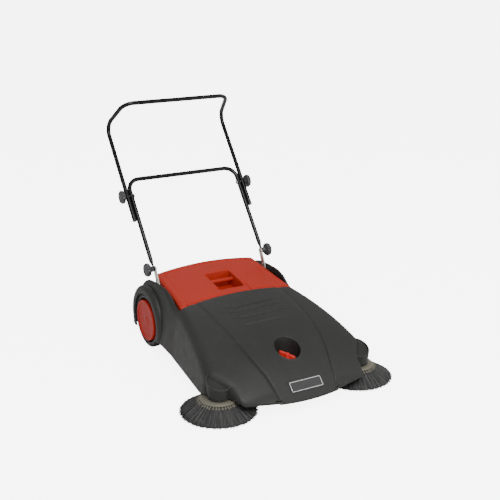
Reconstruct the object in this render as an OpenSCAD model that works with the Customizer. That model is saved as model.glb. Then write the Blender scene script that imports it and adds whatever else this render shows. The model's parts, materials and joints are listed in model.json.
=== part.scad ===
// Walk-behind sweeper with two side brushes, a main roller and a lift-out debris hopper.
// The machine drives towards -Y. Modules are drawn with the wheel axle at y = 0 and the
// floor at z = 0, and place() moves them so that the origin is under the middle of the machine.

/* [Wheels] */
// Radius of the tyres
tyre_r = 104; // [102:0.5:105]
// Outer face of the tyres, from the centre plane
tyre_outer_x = 262; // [260:0.5:263]
// Radius of the coloured hub caps
cap_r = 78; // [70:1:84]

/* [Hood] */
// Height of the hood's crest where it meets the hopper
crest_z = 248; // [244:1:252]
// Reach of the front lip ahead of the axle
lip_y = 735; // [730:1:738]
// Wall thickness of the hood
skin = 3.5; // [3:0.5:4]
// Radius of the well around the height knob
well_r = 45; // [42:1:47]

/* [Brushes] */
// Sideways distance of the side brush spindles
brush_x = 269; // [266:1:270]
// Distance of the side brush spindles ahead of the axle
brush_y = 600; // [598:1:602]
// Radius of the side brushes at the floor
brush_r = 131; // [125:1:133]
// Radius of the main roller over its bristles
roller_r = 90; // [86:1:90]

/* [Handle] */
// Outer diameter of the handle tubes
tube_d = 16; // [15:0.5:16]
// Lean of the handle legs from upright, in degrees
lean = 38.5; // [30:0.5:42]
// Distance from the fold pivot to the crossbar of the lower handle
lower_len = 366; // [350:1:380]
// Distance from the fold pivot to the upper clamp
clamp_len = 300; // [290:1:310]
// Distance from the fold pivot to the bend of the upper handle
upper_len = 604; // [580:1:620]
// Length of the grip arms beyond that bend
grip_len = 157; // [140:1:170]

/* [Hidden] */
$fn = 64;

grey = "#3c3d3d";
red = "#c03a2b";
black = "#1b1b1c";
zinc = "#b9b4aa";
beige = "#a9a48d";
steel = "#9a9da0";
nylon = "#e6e3da";
rubber = "#202020";

// Handle: the legs lean back from the fold pivot, and the grip bends forward off them
tube_r = tube_d / 2;
tube_wall = 1.4;
bend_r = 45;
pivot_y = -10;
pivot_z = 304;
grip_lean = -50;
lower_x = 230;
upper_x = lower_x + tube_d + 0.6;
grip_x = upper_x - 30;
function leg(d) = [pivot_y + d * sin(lean), pivot_z + d * cos(lean)];
grip_flat = sqrt(grip_len * grip_len - pow(upper_x - grip_x, 2));
bend_point = leg(upper_len);
grip_point = [bend_point[0] + grip_flat * sin(grip_lean), bend_point[1] + grip_flat * cos(grip_lean)];

// The origin lies midway between the front lip and the rearmost point of the handle bend
bend_half = (lean - grip_lean) / 2;
bend_centre_y = bend_point[0] - bend_r / cos(bend_half) * cos((lean + grip_lean) / 2);
handle_rear_y = bend_centre_y + bend_r + tube_r;
axle_y = (lip_y - handle_rear_y) / 2;

// Stations of the hood and its plan outline
crown = 0.0004;
lip_curve = 33;
lip_half = 225;
lip_depth = 5;
wall_foot = 50;
corner_foot = 60;
shoulder = 34;
floor_z = -5;

// Side plates and the drive between them
plate_x = 214.5;
plate_t = 4;
belt_x = 223.8;
gear_x = 229;
gear_w = 9;
gear_module = 2;
ring_teeth = 56;
pinion_teeth = 14;
gear_gap = gear_module * (ring_teeth - pinion_teeth) / 2;
pinion_y = -gear_gap * cos(20);
pinion_z = tyre_r + gear_gap * sin(20);
pinion_pulley_r = 12;
roller_y = -300;
roller_z = roller_r + 2;
roller_pulley_r = 16;
twist_x = 238;
twist_r = 14;
spindle_pulley_r = brush_x - twist_x;
spindle_pulley_z = roller_z - twist_r;
belt_slack = 0.9;
run = 0.06;

// Height adjuster and caster under the hood's centre
knob_y = -582;
well_floor = 112;
beam_z = 86;
beam_t = 4;

// Debris hopper
bin_half = 207;
lid_front_y = -237;
lid_rear_y = 33;
grip_half = 55;

module place() { translate([0, axle_y, 0]) children(); }
module both_sides() { for (s = [-1, 1]) scale([s, 1, 1]) children(); }
module side(s) { mirror([s < 0 ? 1 : 0, 0, 0]) children(); }
module along_x(x, y, z) { translate([x, y, z]) rotate([0, 90, 0]) children(); }

// ---- hood ----

function drop(y) = let (t = (-y - 220) / (lip_y - 220)) 35 * t + 110 * t * t + 62 * pow(t, 6);
function crest(y) = crest_z - drop(y);
function half_width(y) =
    y < -702 ? lip_half * sqrt((y + lip_y) / lip_curve) :
    y < -578 ? lookup(y, [[-702, 225], [-690, 234], [-670, 241], [-645, 250], [-612, 276], [-578, 299.5]]) :
    240 + 0.176 * (-235 - y);
function foot_half(y) = half_width(y) + lookup(y, [[-595, 2], [-560, 15], [-235, 29]]);
function foot_z(y) = let (edge = crest(y) - crown * pow(half_width(y), 2))
    y < -690 ? edge - lip_depth - (y + lip_y) / 45 * 4 : lookup(y, [[-690, 58], [-660, corner_foot],
        [-575, corner_foot], [-540, wall_foot + 2], [-235, wall_foot]]);

// Points from the crest down to the foot of one wall: crown, rounded shoulder, straight wall
function half_profile(y, inset) =
    let (w = half_width(y) - inset, b = foot_half(y) - inset, c = crest(y) - inset,
         zs = c - crown * w * w, zb = foot_z(y), h = zs - zb, r = min(shoulder, 0.6 * h, 0.5 * w),
         p0 = [w - r, c - crown * pow(w - r, 2)], p1 = [w, zs],
         p2 = p1 + [b - w, zb - zs] * (r / norm([b - w, zb - zs])))
    concat([for (i = [0:7]) let (x = (w - r) * i / 8) [x, c - crown * x * x]],
        [for (i = [0:6]) let (q = i / 6) p0 * pow(1 - q, 2) + p1 * 2 * q * (1 - q) + p2 * q * q],
        [(p2 + [b, zb]) / 2, [b, zb]]);
function mirrored(half) = concat([for (i = [len(half) - 1:-1:1]) [-half[i][0], half[i][1]]], half);
function reversed(list) = [for (i = [len(list) - 1:-1:0]) list[i]];
function on_station(y, points) = [for (p = points) [p[0], y, p[1]]];

hood_stations = concat([for (d = [0.6, 3, 8, 15, 24]) -lip_y + d], [-702, -690, -670, -645, -628, -612,
    -595,
    -578, -560], [for (i = [0:7]) -535 + i * 295 / 7]);

// A closed tube of rings; each ring is an outer line and the inner line reversed
module loft(rings) {
    m = len(rings[0]);
    n = m / 2;
    last = (len(rings) - 1) * m;
    sides = [for (s = [0:len(rings) - 2], i = [0:m - 1], k = [0, 1]) let (a = s * m + i,
        b = s * m + (i + 1) % m) k == 0 ? [a, b + m, b] : [a, a + m, b + m]];
    front = [for (i = [0:n - 2], k = [0, 1]) k == 0 ? [i, m - 2 - i, m - 1 - i] : [i, i + 1, m - 2 - i]];
    back = [for (f = front) [last + f[0], last + f[2], last + f[1]]];
    polyhedron([for (r = rings) each r], concat(sides, front, back), convexity = 8);
}
function ring(y, outer, inner) = concat(on_station(y, outer), on_station(y, reversed(inner)));

module hood_shell() {
    loft([for (y = hood_stations) ring(y, mirrored(half_profile(y, 0)), mirrored(half_profile(y, skin)))]);
}
// The solid under the hood's outer skin, used to trim what rises through it
module hood_core(inset) {
    loft([for (y = hood_stations) let (line = mirrored(half_profile(y, inset)))
        ring(y, line, [for (p = line) [p[0], floor_z]])]);
}

// Shoulders that run back beside the hopper, over the wheels
function cheek_top(y) = lookup(y, [[-240, 229], [-100, 248], [0, 260], [33, 260], [60, 247], [85, 220],
    [108, 183]]);
function cheek_inner(y) = lookup(y, [[-240, 230], [33, 229]]);
function cheek_profile(y, inset) =
    let (zt = cheek_top(y) - inset, x0 = cheek_inner(y) + inset, w = lookup(y, [[-240, 241], [0, 243],
        [108, 243]])
- inset, b = lookup(y, [[-240, 270], [-140, 264], [108, 262]]) - inset, zb = 52, r = 14, p1 = [w, zt - 3],
         p0 = [max(w - r, x0 + 3), zt - 1], p2 = p1 + [b - w, zb - p1[1]] * (26 / norm([b - w,
             zb - p1[1]])))
    concat([[x0, cheek_top(y) - 22], [x0, zt - 2], [x0 + 2, zt]],
        [for (i = [0:5]) let (q = i / 5) p0 * pow(1 - q, 2) + p1 * 2 * q * (1 - q) + p2 * q * q],
        [(p2 + [b, zb]) / 2, [b, zb]]);
module cheek() {
    loft([for (y = [-240.5, -205, -170, -135, -100, -60, -20, 15, 33, 48, 60, 72, 85, 97, 108])
        ring(y, cheek_profile(y, 0), cheek_profile(y, skin))]);
}

arch_r = 133;
arch_skin = 3;
arch_x = 268;
opening_r = 100;
module wheel_well() { along_x(219.5, 0, tyre_r) cylinder(r = arch_r - 2.5,
    h = arch_x - arch_skin - 220.3); }
module wheel_arch() {
    difference() {
        along_x(gear_x, 0, tyre_r) difference() {
            cylinder(r = arch_r, h = arch_x - gear_x);
            translate([0, 0, -1]) cylinder(r = arch_r - arch_skin, h = arch_x - gear_x - arch_skin + 1);
            cylinder(r = opening_r, h = arch_x);
        }
        translate([0, -300, -40]) cube([400, 600, wall_foot + 42]);
    }
}

boss_y = -607;
boss_slope = 0.41;
module boss(inset) {
    rake = atan(boss_slope);
    difference() {
        translate([brush_x + 1, boss_y, corner_foot - 2 - inset]) cylinder(r1 = 38 - inset,
            r2 = 46 - inset, h = 90);
        translate([brush_x - 60, boss_y, 113 - inset]) rotate([rake, 0, 0]) translate([0, -90, 0])
            cube([130, 180, 90]);
    }
}
module boss_shell() {
    difference() {
        boss(0);
        boss(3);
        hood_core(1.7);
    }
}

rib_ys = [-330, -362, -400, -445];
module hood_rib(y, s) {
    reach = 100;
    hull() {
        translate([0, y, crest(y) - 0.6]) sphere(r = 2.4, $fn = 12);
        translate([s * reach / 2, y, crest(y) - crown * pow(reach / 2, 2) - 0.6]) sphere(r = 2.2, $fn = 12);
        translate([s * reach, y, crest(y) - crown * reach * reach - 0.8]) sphere(r = 1.4, $fn = 12);
    }
}

module hood() {
    color(grey) difference() {
        union() {
            difference() {
                hood_shell();
                translate([0, knob_y, 90]) cylinder(r = well_r + 1, h = 120);
                both_sides() boss(3);
            }
            intersection() {
                hood_core(0.4);
                translate([0, knob_y, well_floor - 3]) difference() {
                    cylinder(r = well_r + 2.6, h = 100);
                    translate([0, 0, 3]) cylinder(r = well_r, h = 100);
                }
            }
            both_sides() {
                boss_shell();
                difference() {
                    cheek();
                    wheel_well();
                }
                wheel_arch();
            }
            for (y = rib_ys, s = [-1, 1]) hood_rib(y, s);
        }
        translate([0, knob_y, 90]) cylinder(r = 7, h = 40);
    }
}

module badge_plate() {
    y = -702;
    color(black) translate([0, y, crest(y) + 0.2]) rotate([44.6, 0, 0]) translate([-62, -20, 0])
        cube([124, 40, 1.6]);
}

module hood_screws() {
    color(steel) for (s = [-1, 1], tab = hood_tabs) translate([s * screw_x, tab[0], tab[1] - 4]) {
        cylinder(r = 6, h = 4);
        cylinder(r = bolt_r, h = crest(tab[0]) - crown * screw_x * screw_x - skin - screw_gap - tab[1] + 4);
    }
}

// ---- chassis ----

screw_x = 205;
screw_gap = 1.2;
// Distance from the axle and height of the tabs that carry the hood
hood_tabs = [[-260, 190], [-412, 126]];
plate_outline = [[60, 40], [60, 130], [20, 190], [-60, 205], [-250, 196], [-345, 180], [-440, 130],
    [-625, 95],
    [-625, 72], [-440, 66], [-400, 24], [30, 24]];
shaft_r = 6;
pin_r = 4;
bolt_r = 3;
bearing_r = 11;

module in_side_plane(x, t) { translate([x, 0, 0]) rotate([90, 0, 90]) linear_extrude(t) children(); }

module side_plate(s) {
    color(zinc) side(s) {
        difference() {
            in_side_plane(plate_x - plate_t / 2, plate_t) polygon(plate_outline);
            along_x(plate_x - 5, roller_y, roller_z) cylinder(r = bearing_r, h = 10);
            along_x(plate_x - 5, tie_y, tie_z) cylinder(r = 5, h = 10);
            translate([plate_x - 5, -650, beam_z]) cube([10, 80, beam_t]);
        }
        for (tab = hood_tabs) translate([screw_x, tab[0], tab[1]]) difference() {
            translate([-10, -12, 0]) cube([plate_x - screw_x + 10, 24, 3]);
            translate([0, 0, -1]) cylinder(r = bolt_r, h = 5);
        }
    }
}
module left_side_plate() { side_plate(-1); }
module right_side_plate() { side_plate(1); }

// Cross member that carries the side brush spindles and the height adjuster
tie_y = 45;
tie_z = 110;
post_x = 20;
bush_r = 10;
module front_beam() {
    color(zinc) difference() {
        union() {
            translate([-brush_x, -625, beam_z]) cube([2 * brush_x, 50, beam_t]);
            for (s = [-1, 1]) translate([s * brush_x, -brush_y, beam_z]) cylinder(r = 25, h = beam_t);
        }
        for (s = [-1, 1]) {
            translate([s * brush_x, -brush_y, beam_z - 1]) cylinder(r = bush_r, h = beam_t + 2);
            translate([s * post_x, knob_y, beam_z - 1]) cylinder(r = pin_r, h = beam_t + 2);
        }
        translate([0, knob_y, beam_z - 1]) cylinder(r = pin_r + run, h = beam_t + 2);
    }
}

module rear_tie_rod() {
    color(zinc) along_x(-plate_x - plate_t / 2, tie_y, tie_z) cylinder(r = 5, h = 2 * plate_x + plate_t);
}

module roller_cowl() {
    inner = roller_r + 6;
    half = plate_x - plate_t / 2;
    color(grey) along_x(-half, roller_y, roller_z) rotate([0, 0, 150]) rotate_extrude(angle = 145)
        translate([inner, 0]) square([2.5, 2 * half]);
}

module hopper_rails() {
    color(zinc) for (s = [-1, 1]) side(s) translate([plate_x - plate_t / 2 - 12, -195, 26]) cube([12,
        205, 4]);
}

module stub_axles() {
    color(steel) for (s = [-1, 1]) side(s) {
        along_x(plate_x + plate_t / 2, 0, tyre_r) cylinder(r = shaft_r, h = 264 - plate_x - plate_t / 2);
        along_x(plate_x + plate_t / 2, 0, tyre_r) cylinder(r = 12, h = 5);
        along_x(262.4, 0, tyre_r) cylinder(r = 9.5, h = 1.6);
    }
}

module pinion_pins() {
    color(steel) for (s = [-1, 1]) side(s)
        along_x(plate_x + plate_t / 2, pinion_y, pinion_z) cylinder(r = pin_r,
            h = 239 - plate_x - plate_t / 2);
}

// Handle straps: screwed to the side plates, stepped outwards to the fold pivot
bracket_x = plate_x + plate_t / 2;
bracket_t = 4;
bracket_step = 6;
bracket_lean = 26;
bracket_len = 148;
strap_x = bracket_x + bracket_step;
foot_screws = [116, 136];
stop_screw = 52;
module in_leg_plane() { translate([0, pivot_y, pivot_z]) rotate([-lean, 0, 0]) children(); }
module in_strap_plane() { translate([0, pivot_y, pivot_z]) rotate([-bracket_lean, 0, 0]) children(); }
module handle_bracket(s) {
    color(beige) side(s) in_strap_plane() difference() {
        union() {
            translate([0, 11, 0]) rotate([90, 0, 0]) linear_extrude(22) polygon([[strap_x, 0],
                [strap_x, -62],
                [bracket_x, -80], [bracket_x, -bracket_len], [bracket_x + bracket_t, -bracket_len],
                [bracket_x + bracket_t, -81.5], [strap_x + bracket_t, -63.5], [strap_x + bracket_t, 0]]);
            along_x(strap_x, 0, 0) cylinder(r = 11, h = bracket_t);
        }
        along_x(strap_x - 1, 0, 0) cylinder(r = bolt_r, h = 10);
        along_x(strap_x - 1, 0, -stop_screw) cylinder(r = bolt_r, h = 10);
        for (d = foot_screws) along_x(bracket_x - 1, 0, -d) cylinder(r = bolt_r, h = 10);
    }
}
module left_handle_bracket() { handle_bracket(-1); }
module right_handle_bracket() { handle_bracket(1); }

module bracket_screws() {
    color("#e8e8e6") for (s = [-1, 1]) side(s) in_strap_plane() {
        for (d = foot_screws) {
            along_x(bracket_x, 0, -d) cylinder(r = bolt_r, h = bracket_t);
            along_x(bracket_x + bracket_t, 0, -d) cylinder(r = 6, h = 3, $fn = 6);
        }
        along_x(strap_x, 0, -stop_screw) cylinder(r = bolt_r, h = bracket_t);
        along_x(strap_x + bracket_t, 0, -stop_screw) cylinder(r = 5, h = 1.8);
    }
}

module bracket_bolts() {
    color(steel) for (s = [-1, 1]) side(s) in_leg_plane() {
        along_x(strap_x - 3, 0, 0) cylinder(r = 7, h = 3);
        along_x(strap_x - 3, 0, 0) cylinder(r = bolt_r, h = 262 - strap_x + 3);
    }
}

module spindle_bushes() {
    color(nylon) for (s = [-1, 1]) translate([s * brush_x, -brush_y, 0]) difference() {
        union() {
            translate([0, 0, beam_z - 3]) cylinder(r = bush_r + 4, h = 3);
            translate([0, 0, beam_z - 3]) cylinder(r = bush_r, h = 12);
        }
        translate([0, 0, beam_z - 5]) cylinder(r = shaft_r + run, h = 20);
    }
}

module roller_bearings() {
    color(nylon) for (s = [-1, 1]) side(s) difference() {
        union() {
            along_x(plate_x - 4, roller_y, roller_z) cylinder(r = bearing_r, h = 8);
            along_x(plate_x - 4.5, roller_y, roller_z) cylinder(r = bearing_r + 3, h = 2.5);
        }
        along_x(plate_x - 6, roller_y, roller_z) cylinder(r = shaft_r + run, h = 14);
    }
}

// ---- belts ----

belt_r = 2.5;
function unit(v) = v / norm(v);
module belt(route) {
    n = len(route);
    k = 8;
    rings = [for (i = [0:n - 1]) let (t = unit(route[(i + 1) % n] - route[(i + n - 1) % n]),
        a = unit(cross(t, [1, 0, 1])), b = cross(t, a))
        for (j = [0:k - 1]) route[i] + belt_r * (cos(360 * j / k) * a + sin(360 * j / k) * b)];
    color(rubber) polyhedron(rings, [for (i = [0:n - 1], j = [0:k - 1], f = [0, 1]) let (a = i * k + j,
        b = i * k + (j + 1) % k, c = (i + 1) % n * k + j, d = (i + 1) % n * k + (j + 1) % k)
        f == 0 ? [a, c, d] : [a, d, b]], convexity = 4);
}
function arc_x(x, y, z, r, from, to) = [for (i = [0:12]) let (q = from + (to - from) * i / 12)
    [x, y + r * cos(q), z + r * sin(q)]];
// Open belt from the wheel pinion to the roller, leaving both pulleys on their common tangents
function drive_route() =
    let (dy = roller_y - pinion_y, dz = roller_z - pinion_z, far = norm([dy, dz]), along = atan2(dz, dy),
         tip = acos((pinion_pulley_r - roller_pulley_r) / far))
    concat(arc_x(belt_x, pinion_y, pinion_z, pinion_pulley_r, along + tip, along + 360 - tip),
        arc_x(belt_x, roller_y, roller_z, roller_pulley_r, along - tip, along + tip));
// Quarter-twist belt from the roller to the side brush spindle
function twist_route() = concat(
    arc_x(twist_x, roller_y, roller_z, twist_r, -90, 90),
    [for (i = [0:12]) let (q = 180 * i / 12) [brush_x + spindle_pulley_r * cos(q),
        -brush_y - spindle_pulley_r * sin(q), spindle_pulley_z]]);
module left_drive_belt() { side(-1) belt(drive_route()); }
module right_drive_belt() { belt(drive_route()); }
module left_brush_belt() { side(-1) belt(twist_route()); }
module right_brush_belt() { belt(twist_route()); }

// Pulley groove as an outline: distance from the axis against height along it
function groove(r, half) = let (rim = r + 0.5, floor_r = r - belt_r - belt_slack, open = belt_r + 1.6,
    shut = belt_r + 0.8)
    [[rim, -half], [rim, -open], [floor_r, -shut], [floor_r, shut], [rim, open], [rim, half]];
module pulley(r, half) { rotate_extrude() polygon(concat([[0, -half]], groove(r, half), [[0, half]])); }

// ---- hopper ----

bin_z = 30.3;
bin_top = 205;
bin_front = -205;
bin_rear = 28;
wall = 3;
module hopper_bin() {
    color(red) difference() {
        translate([-bin_half, bin_front, bin_z]) cube([2 * bin_half, bin_rear - bin_front,
            bin_top - bin_z]);
        translate([wall - bin_half, bin_front + wall, bin_z + wall])
            cube([2 * (bin_half - wall), bin_rear - bin_front - 2 * wall, bin_top]);
        translate([wall - bin_half, bin_front - 1, bin_z + 42]) cube([2 * (bin_half - wall), 6, bin_top]);
    }
}

function lid_half(y) = 226 - 18.5 * (y - lid_front_y) / (lid_rear_y - lid_front_y);
function lid_crest(y) = 247 + 38 * (y - lid_front_y) / (lid_rear_y - lid_front_y);
lid_crown = 0.00042;
function lid_profile(y, inset) =
    let (w = lid_half(y) - inset, c = lid_crest(y) - inset, r = 7, p0 = [w - r,
        c - lid_crown * pow(w - r, 2)],
         p1 = [w, c - lid_crown * w * w], p2 = p1 - [0, r])
    concat([for (i = [0:7]) let (x = (w - r) * i / 8) [x, c - lid_crown * x * x]],
        [for (i = [0:3]) let (q = i / 3) p0 * pow(1 - q, 2) + p1 * 2 * q * (1 - q) + p2 * q * q],
        [[w, bin_top]]);
// A flat line across the foot of the lid, with n steps
function lid_foot(y, n) = [for (k = [0:n]) [(lid_half(y) - wall) * (2 * k / n - 1), bin_top + 1]];
// One ring of the lid's shell, solid where it crosses an end wall
function lid_ring(y, hollow) = let (outer = mirrored(lid_profile(y, 0)))
    ring(y, outer, hollow ? mirrored(lid_profile(y, wall)) : lid_foot(y, len(outer) - 1));
module lid_shell() {
    front = lid_front_y + wall;
    rear = lid_rear_y - wall;
    loft(concat([lid_ring(lid_front_y, false), lid_ring(front, false)],
        [for (i = [0:6]) lid_ring(front + 1 + (rear - front - 2) * i / 6, true)],
        [lid_ring(rear, false), lid_ring(lid_rear_y, false)]));
}

tray_floor = 214;
tray_half = 67;
tray_y = -129;
tray_corner = 14;
tray_wall = 2.5;
// The grip recess's outline with its corners rounded, grown by the given amount
function tray_outline(grow) = [for (q = [[1, 1, 0], [-1, 1, 90], [-1, -1, 180], [1, -1, 270]], i = [0:6])
    let (a = q[2] + i * 15) [q[0] * (grip_half - tray_corner), tray_y + q[1] * (tray_half - tray_corner)]
        + (tray_corner + grow) * [cos(a), sin(a)]];
module grip_tray() {
    pitch = atan((lid_crest(lid_rear_y) - lid_crest(lid_front_y)) / (lid_rear_y - lid_front_y));
    difference() {
        translate([0, 0, tray_floor - tray_wall]) linear_extrude(90) polygon(tray_outline(tray_wall));
        translate([0, tray_y, lid_crest(tray_y) - 2.2]) rotate([pitch, 0, 0]) translate([-80, -100, 0])
            cube([160, 200, 90]);
    }
}
module hopper_lid() {
    color(red) difference() {
        union() {
            lid_shell();
            grip_tray();
        }
        translate([0, 0, tray_floor]) linear_extrude(90) polygon(tray_outline(0));
    }
}

bar_y = -100;
bar_z = 246;
module hopper_grip_bar() {
    color(red) along_x(-grip_half, bar_y, bar_z) cylinder(r = 8, h = 2 * grip_half);
}

module hopper_lip_seal() {
    color(rubber) translate([-204, bin_front - 3.5, 34]) cube([408, 3.5, 36]);
}

// ---- wheels and gears ----

web_x = 240;
function inv(r, base) = let (a = acos(base / r)) tan(a) * 180 / PI - a;
// Outline of an involute gear with the given tooth half-angle at the pitch circle
function gear_points(teeth, low, high, half) =
    let (pitch = gear_module * teeth / 2, base = pitch * cos(20), start = max(low, base + 0.01),
         flank = [for (i = [0:4]) let (r = start + (high - start) * i / 4) [r, half + inv(pitch, base)
             - inv(r, base)]])
    [for (k = [0:teeth - 1]) let (mid = 360 * k / teeth) each concat(
        [let (q = mid - flank[0][1]) low * [cos(q), sin(q)]],
        [for (f = flank) let (q = mid - f[1]) f[0] * [cos(q), sin(q)]],
        [for (i = [4:-1:0]) let (q = mid + flank[i][1]) flank[i][0] * [cos(q), sin(q)]],
        [let (q = mid + flank[0][1]) low * [cos(q), sin(q)]])];
mesh_turn = -110;
backlash = 0.15;

module wheel_rim(s) {
    color(black) side(s) along_x(0, 0, tyre_r) rotate_extrude() polygon([[shaft_r + run, 222], [14, 222],
        [14, web_x], [86, web_x], [86, 233], [92, 233], [92, 260], [86, 260], [86, web_x + 5], [14,
            web_x + 5],
        [14, 262], [shaft_r + run, 262]]);
}
module left_wheel_rim() { wheel_rim(-1); }
module right_wheel_rim() { wheel_rim(1); }

module tyre(s) {
    color(rubber) side(s) along_x(0, 0, tyre_r) rotate_extrude() polygon([[92, 231], [99, 231],
        [tyre_r - 1.5, 234],
        [tyre_r, 239], [tyre_r, tyre_outer_x - 8], [tyre_r - 1.5, tyre_outer_x - 3], [99, tyre_outer_x],
        [92, tyre_outer_x]]);
}
module left_tyre() { tyre(-1); }
module right_tyre() { tyre(1); }

module ring_gear(s) {
    half = 90 / ring_teeth + backlash / (gear_module * ring_teeth / 2) * 180 / PI;
    color(nylon) side(s) along_x(gear_x + 0.5, 0, tyre_r) rotate([0, 0, mesh_turn])
        linear_extrude(web_x - gear_x - 0.5)
        difference() {
            circle(r = 66);
            polygon(gear_points(ring_teeth, 54.8, 58.4, half));
        }
}
module left_ring_gear() { ring_gear(-1); }
module right_ring_gear() { ring_gear(1); }

module hub_cap(s) {
    color(red) side(s) along_x(0, 0, tyre_r) rotate_extrude() polygon([[0, 265.6], [75, 265.6], [75,
        web_x + 5],
        [cap_r, web_x + 5], [cap_r, 267], [cap_r - 1, 268], [0, 268]]);
}
module left_hub_cap() { hub_cap(-1); }
module right_hub_cap() { hub_cap(1); }

module drive_pinion(s) {
    half = 90 / pinion_teeth - backlash / (gear_module * pinion_teeth / 2) * 180 / PI;
    color(nylon) side(s) difference() {
        union() {
            along_x(gear_x + 0.8, pinion_y, pinion_z) rotate([0, 0, mesh_turn]) linear_extrude(gear_w)
                polygon(gear_points(pinion_teeth, 12, 15.7, half));
            along_x(belt_x, pinion_y, pinion_z) pulley(pinion_pulley_r, 5);
            along_x(belt_x + 4, pinion_y, pinion_z) cylinder(r = 10, h = gear_x + 1 - belt_x - 4);
        }
        along_x(belt_x - 8, pinion_y, pinion_z) cylinder(r = pin_r + run, h = 30);
    }
}
module left_drive_pinion() { drive_pinion(-1); }
module right_drive_pinion() { drive_pinion(1); }

// ---- roller ----

roller_half = 204;
roller_end = 243;
module roller_shaft() {
    color(steel) along_x(-roller_end, roller_y, roller_z) cylinder(r = shaft_r, h = 2 * roller_end);
}
module roller_core() {
    color(black) along_x(-roller_half, roller_y, roller_z) difference() {
        cylinder(r = 28, h = 2 * roller_half);
        translate([0, 0, -1]) cylinder(r = shaft_r, h = 2 * roller_half + 2);
    }
}
module roller_bristles() {
    blades = 8;
    color("#2b2b2b") along_x(-roller_half + 2, roller_y, roller_z) linear_extrude(2 * roller_half - 4)
        for (i = [0:blades - 1]) rotate(360 / blades * (i + 0.5)) difference() {
            translate([20, -4]) square([roller_r - 20.2, 8]);
            circle(r = 28);
        }
}
module roller_pulleys() {
    color(nylon) for (s = [-1, 1]) side(s) difference() {
        union() {
            along_x(belt_x, roller_y, roller_z) pulley(roller_pulley_r, 5);
            along_x(twist_x, roller_y, roller_z) pulley(twist_r, 5);
            along_x(belt_x + 4, roller_y, roller_z) cylinder(r = 10, h = twist_x - belt_x - 8);
        }
        along_x(belt_x - 8, roller_y, roller_z) cylinder(r = shaft_r, h = 40);
    }
}

// ---- side brushes ----

hub_top = 53;
hub_ring_r = 62;
module brush_hub(s) {
    color(beige) translate([s * brush_x, -brush_y, 0]) difference() {
        union() {
            rotate_extrude() polygon([[0, 45], [46, 45], [58, 46.5], [hub_ring_r, 49],
                [hub_ring_r - 2, hub_top - 1], [hub_ring_r - 6, hub_top], [36, hub_top], [30, 50], [0, 50]]);
            translate([0, 0, 49]) cylinder(r = 16, h = 11);
        }
        translate([0, 0, 40]) cylinder(r = shaft_r, h = 30);
    }
}
module left_brush_hub() { brush_hub(-1); }
module right_brush_hub() { brush_hub(1); }

module brush_bristles(s) {
    color("#2b2b2b") translate([s * brush_x, -brush_y, 0]) rotate_extrude() polygon([[34, 44.8], [44, 44.8],
        [57, 46.2], [66, 45.5], [brush_r, 7], [brush_r - 2, 3], [104, 3], [70, 26]]);
}
module left_brush_bristles() { brush_bristles(-1); }
module right_brush_bristles() { brush_bristles(1); }

module brush_spindle(s) {
    color(steel) translate([s * brush_x, -brush_y, 0]) {
        translate([0, 0, 42]) cylinder(r = shaft_r, h = 60);
        translate([0, 0, 42]) cylinder(r = 11, h = 3);
        translate([0, 0, beam_z + 9.4]) cylinder(r = 9, h = 3);
        translate([0, 0, spindle_pulley_z]) pulley(spindle_pulley_r, 4.4);
    }
}
module left_brush_spindle() { brush_spindle(-1); }
module right_brush_spindle() { brush_spindle(1); }

// ---- height adjuster and caster ----

post_low = 58.5;
carriage_z = 56;
swivel_y = -556;
stem_r = 5;
module height_guide_posts() {
    color(steel) for (x = [-post_x, post_x]) translate([x, knob_y, post_low])
        cylinder(r = pin_r, h = beam_z + beam_t - post_low);
}
module height_spindle() {
    color(steel) translate([0, knob_y, 0]) {
        translate([0, 0, post_low]) cylinder(r = pin_r, h = 60);
        translate([0, 0, beam_z - 3.4]) cylinder(r = 8, h = 3);
        translate([0, 0, beam_z + beam_t + 0.4]) cylinder(r = 8, h = 3);
    }
}
// Angle of the knob's bar from the machine's width, seen from above
wing_turn = -50;
module height_knob() {
    top = 148;
    color(red) translate([0, knob_y, 0]) difference() {
        union() {
            translate([0, 0, well_floor + 0.5]) cylinder(r = 32, h = 9);
            translate([0, 0, well_floor + 0.5]) cylinder(r = 13, h = top - well_floor - 0.5);
            rotate([0, 0, wing_turn]) translate([-29, -6, well_floor + 5])
                cube([58, 12, top - well_floor - 5]);
        }
        translate([0, 0, well_floor]) cylinder(r = pin_r, h = post_low + 60 - well_floor);
    }
}
module caster_carriage() {
    color(zinc) difference() {
        translate([-30, knob_y - 12, carriage_z]) cube([60, swivel_y - knob_y + 28, 12]);
        for (x = [-post_x, 0, post_x]) translate([x, knob_y, carriage_z - 1]) cylinder(r = pin_r + run,
            h = 14);
        translate([0, swivel_y, carriage_z - 1]) cylinder(r = stem_r + run, h = 14);
    }
}
module caster_fork() {
    plate_low = 45;
    axle_at = swivel_y + 16;
    color(zinc) difference() {
        union() {
            translate([-14, swivel_y - 10, plate_low]) cube([28, 34, 3.5]);
            for (x = [-14, 11]) hull() {
                translate([x, swivel_y + 4, plate_low]) cube([3, 20, 2]);
                along_x(x, axle_at, caster_wheel_r) cylinder(r = 6, h = 3, $fn = 32);
            }
            translate([0, swivel_y, plate_low]) cylinder(r = stem_r, h = 26);
            translate([0, swivel_y, plate_low]) cylinder(r = 9, h = carriage_z - plate_low - 0.4);
            translate([0, swivel_y, carriage_z + 12.4]) cylinder(r = 8, h = 2.5);
        }
        along_x(-20, axle_at, caster_wheel_r) cylinder(r = 3, h = 40);
    }
}
caster_wheel_r = 21;
module caster_axle() {
    color(steel) along_x(-16, swivel_y + 16, caster_wheel_r) cylinder(r = 3, h = 32);
}
module caster_wheel() {
    color(rubber) along_x(0, swivel_y + 16, caster_wheel_r) rotate_extrude() polygon([[3 + run, -10.4],
        [8, -10.4],
        [8, -9], [19, -9], [caster_wheel_r, -7], [caster_wheel_r, 7], [19, 9], [8, 9], [8, 10.4],
            [3 + run, 10.4]]);
}

// ---- handle ----

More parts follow.
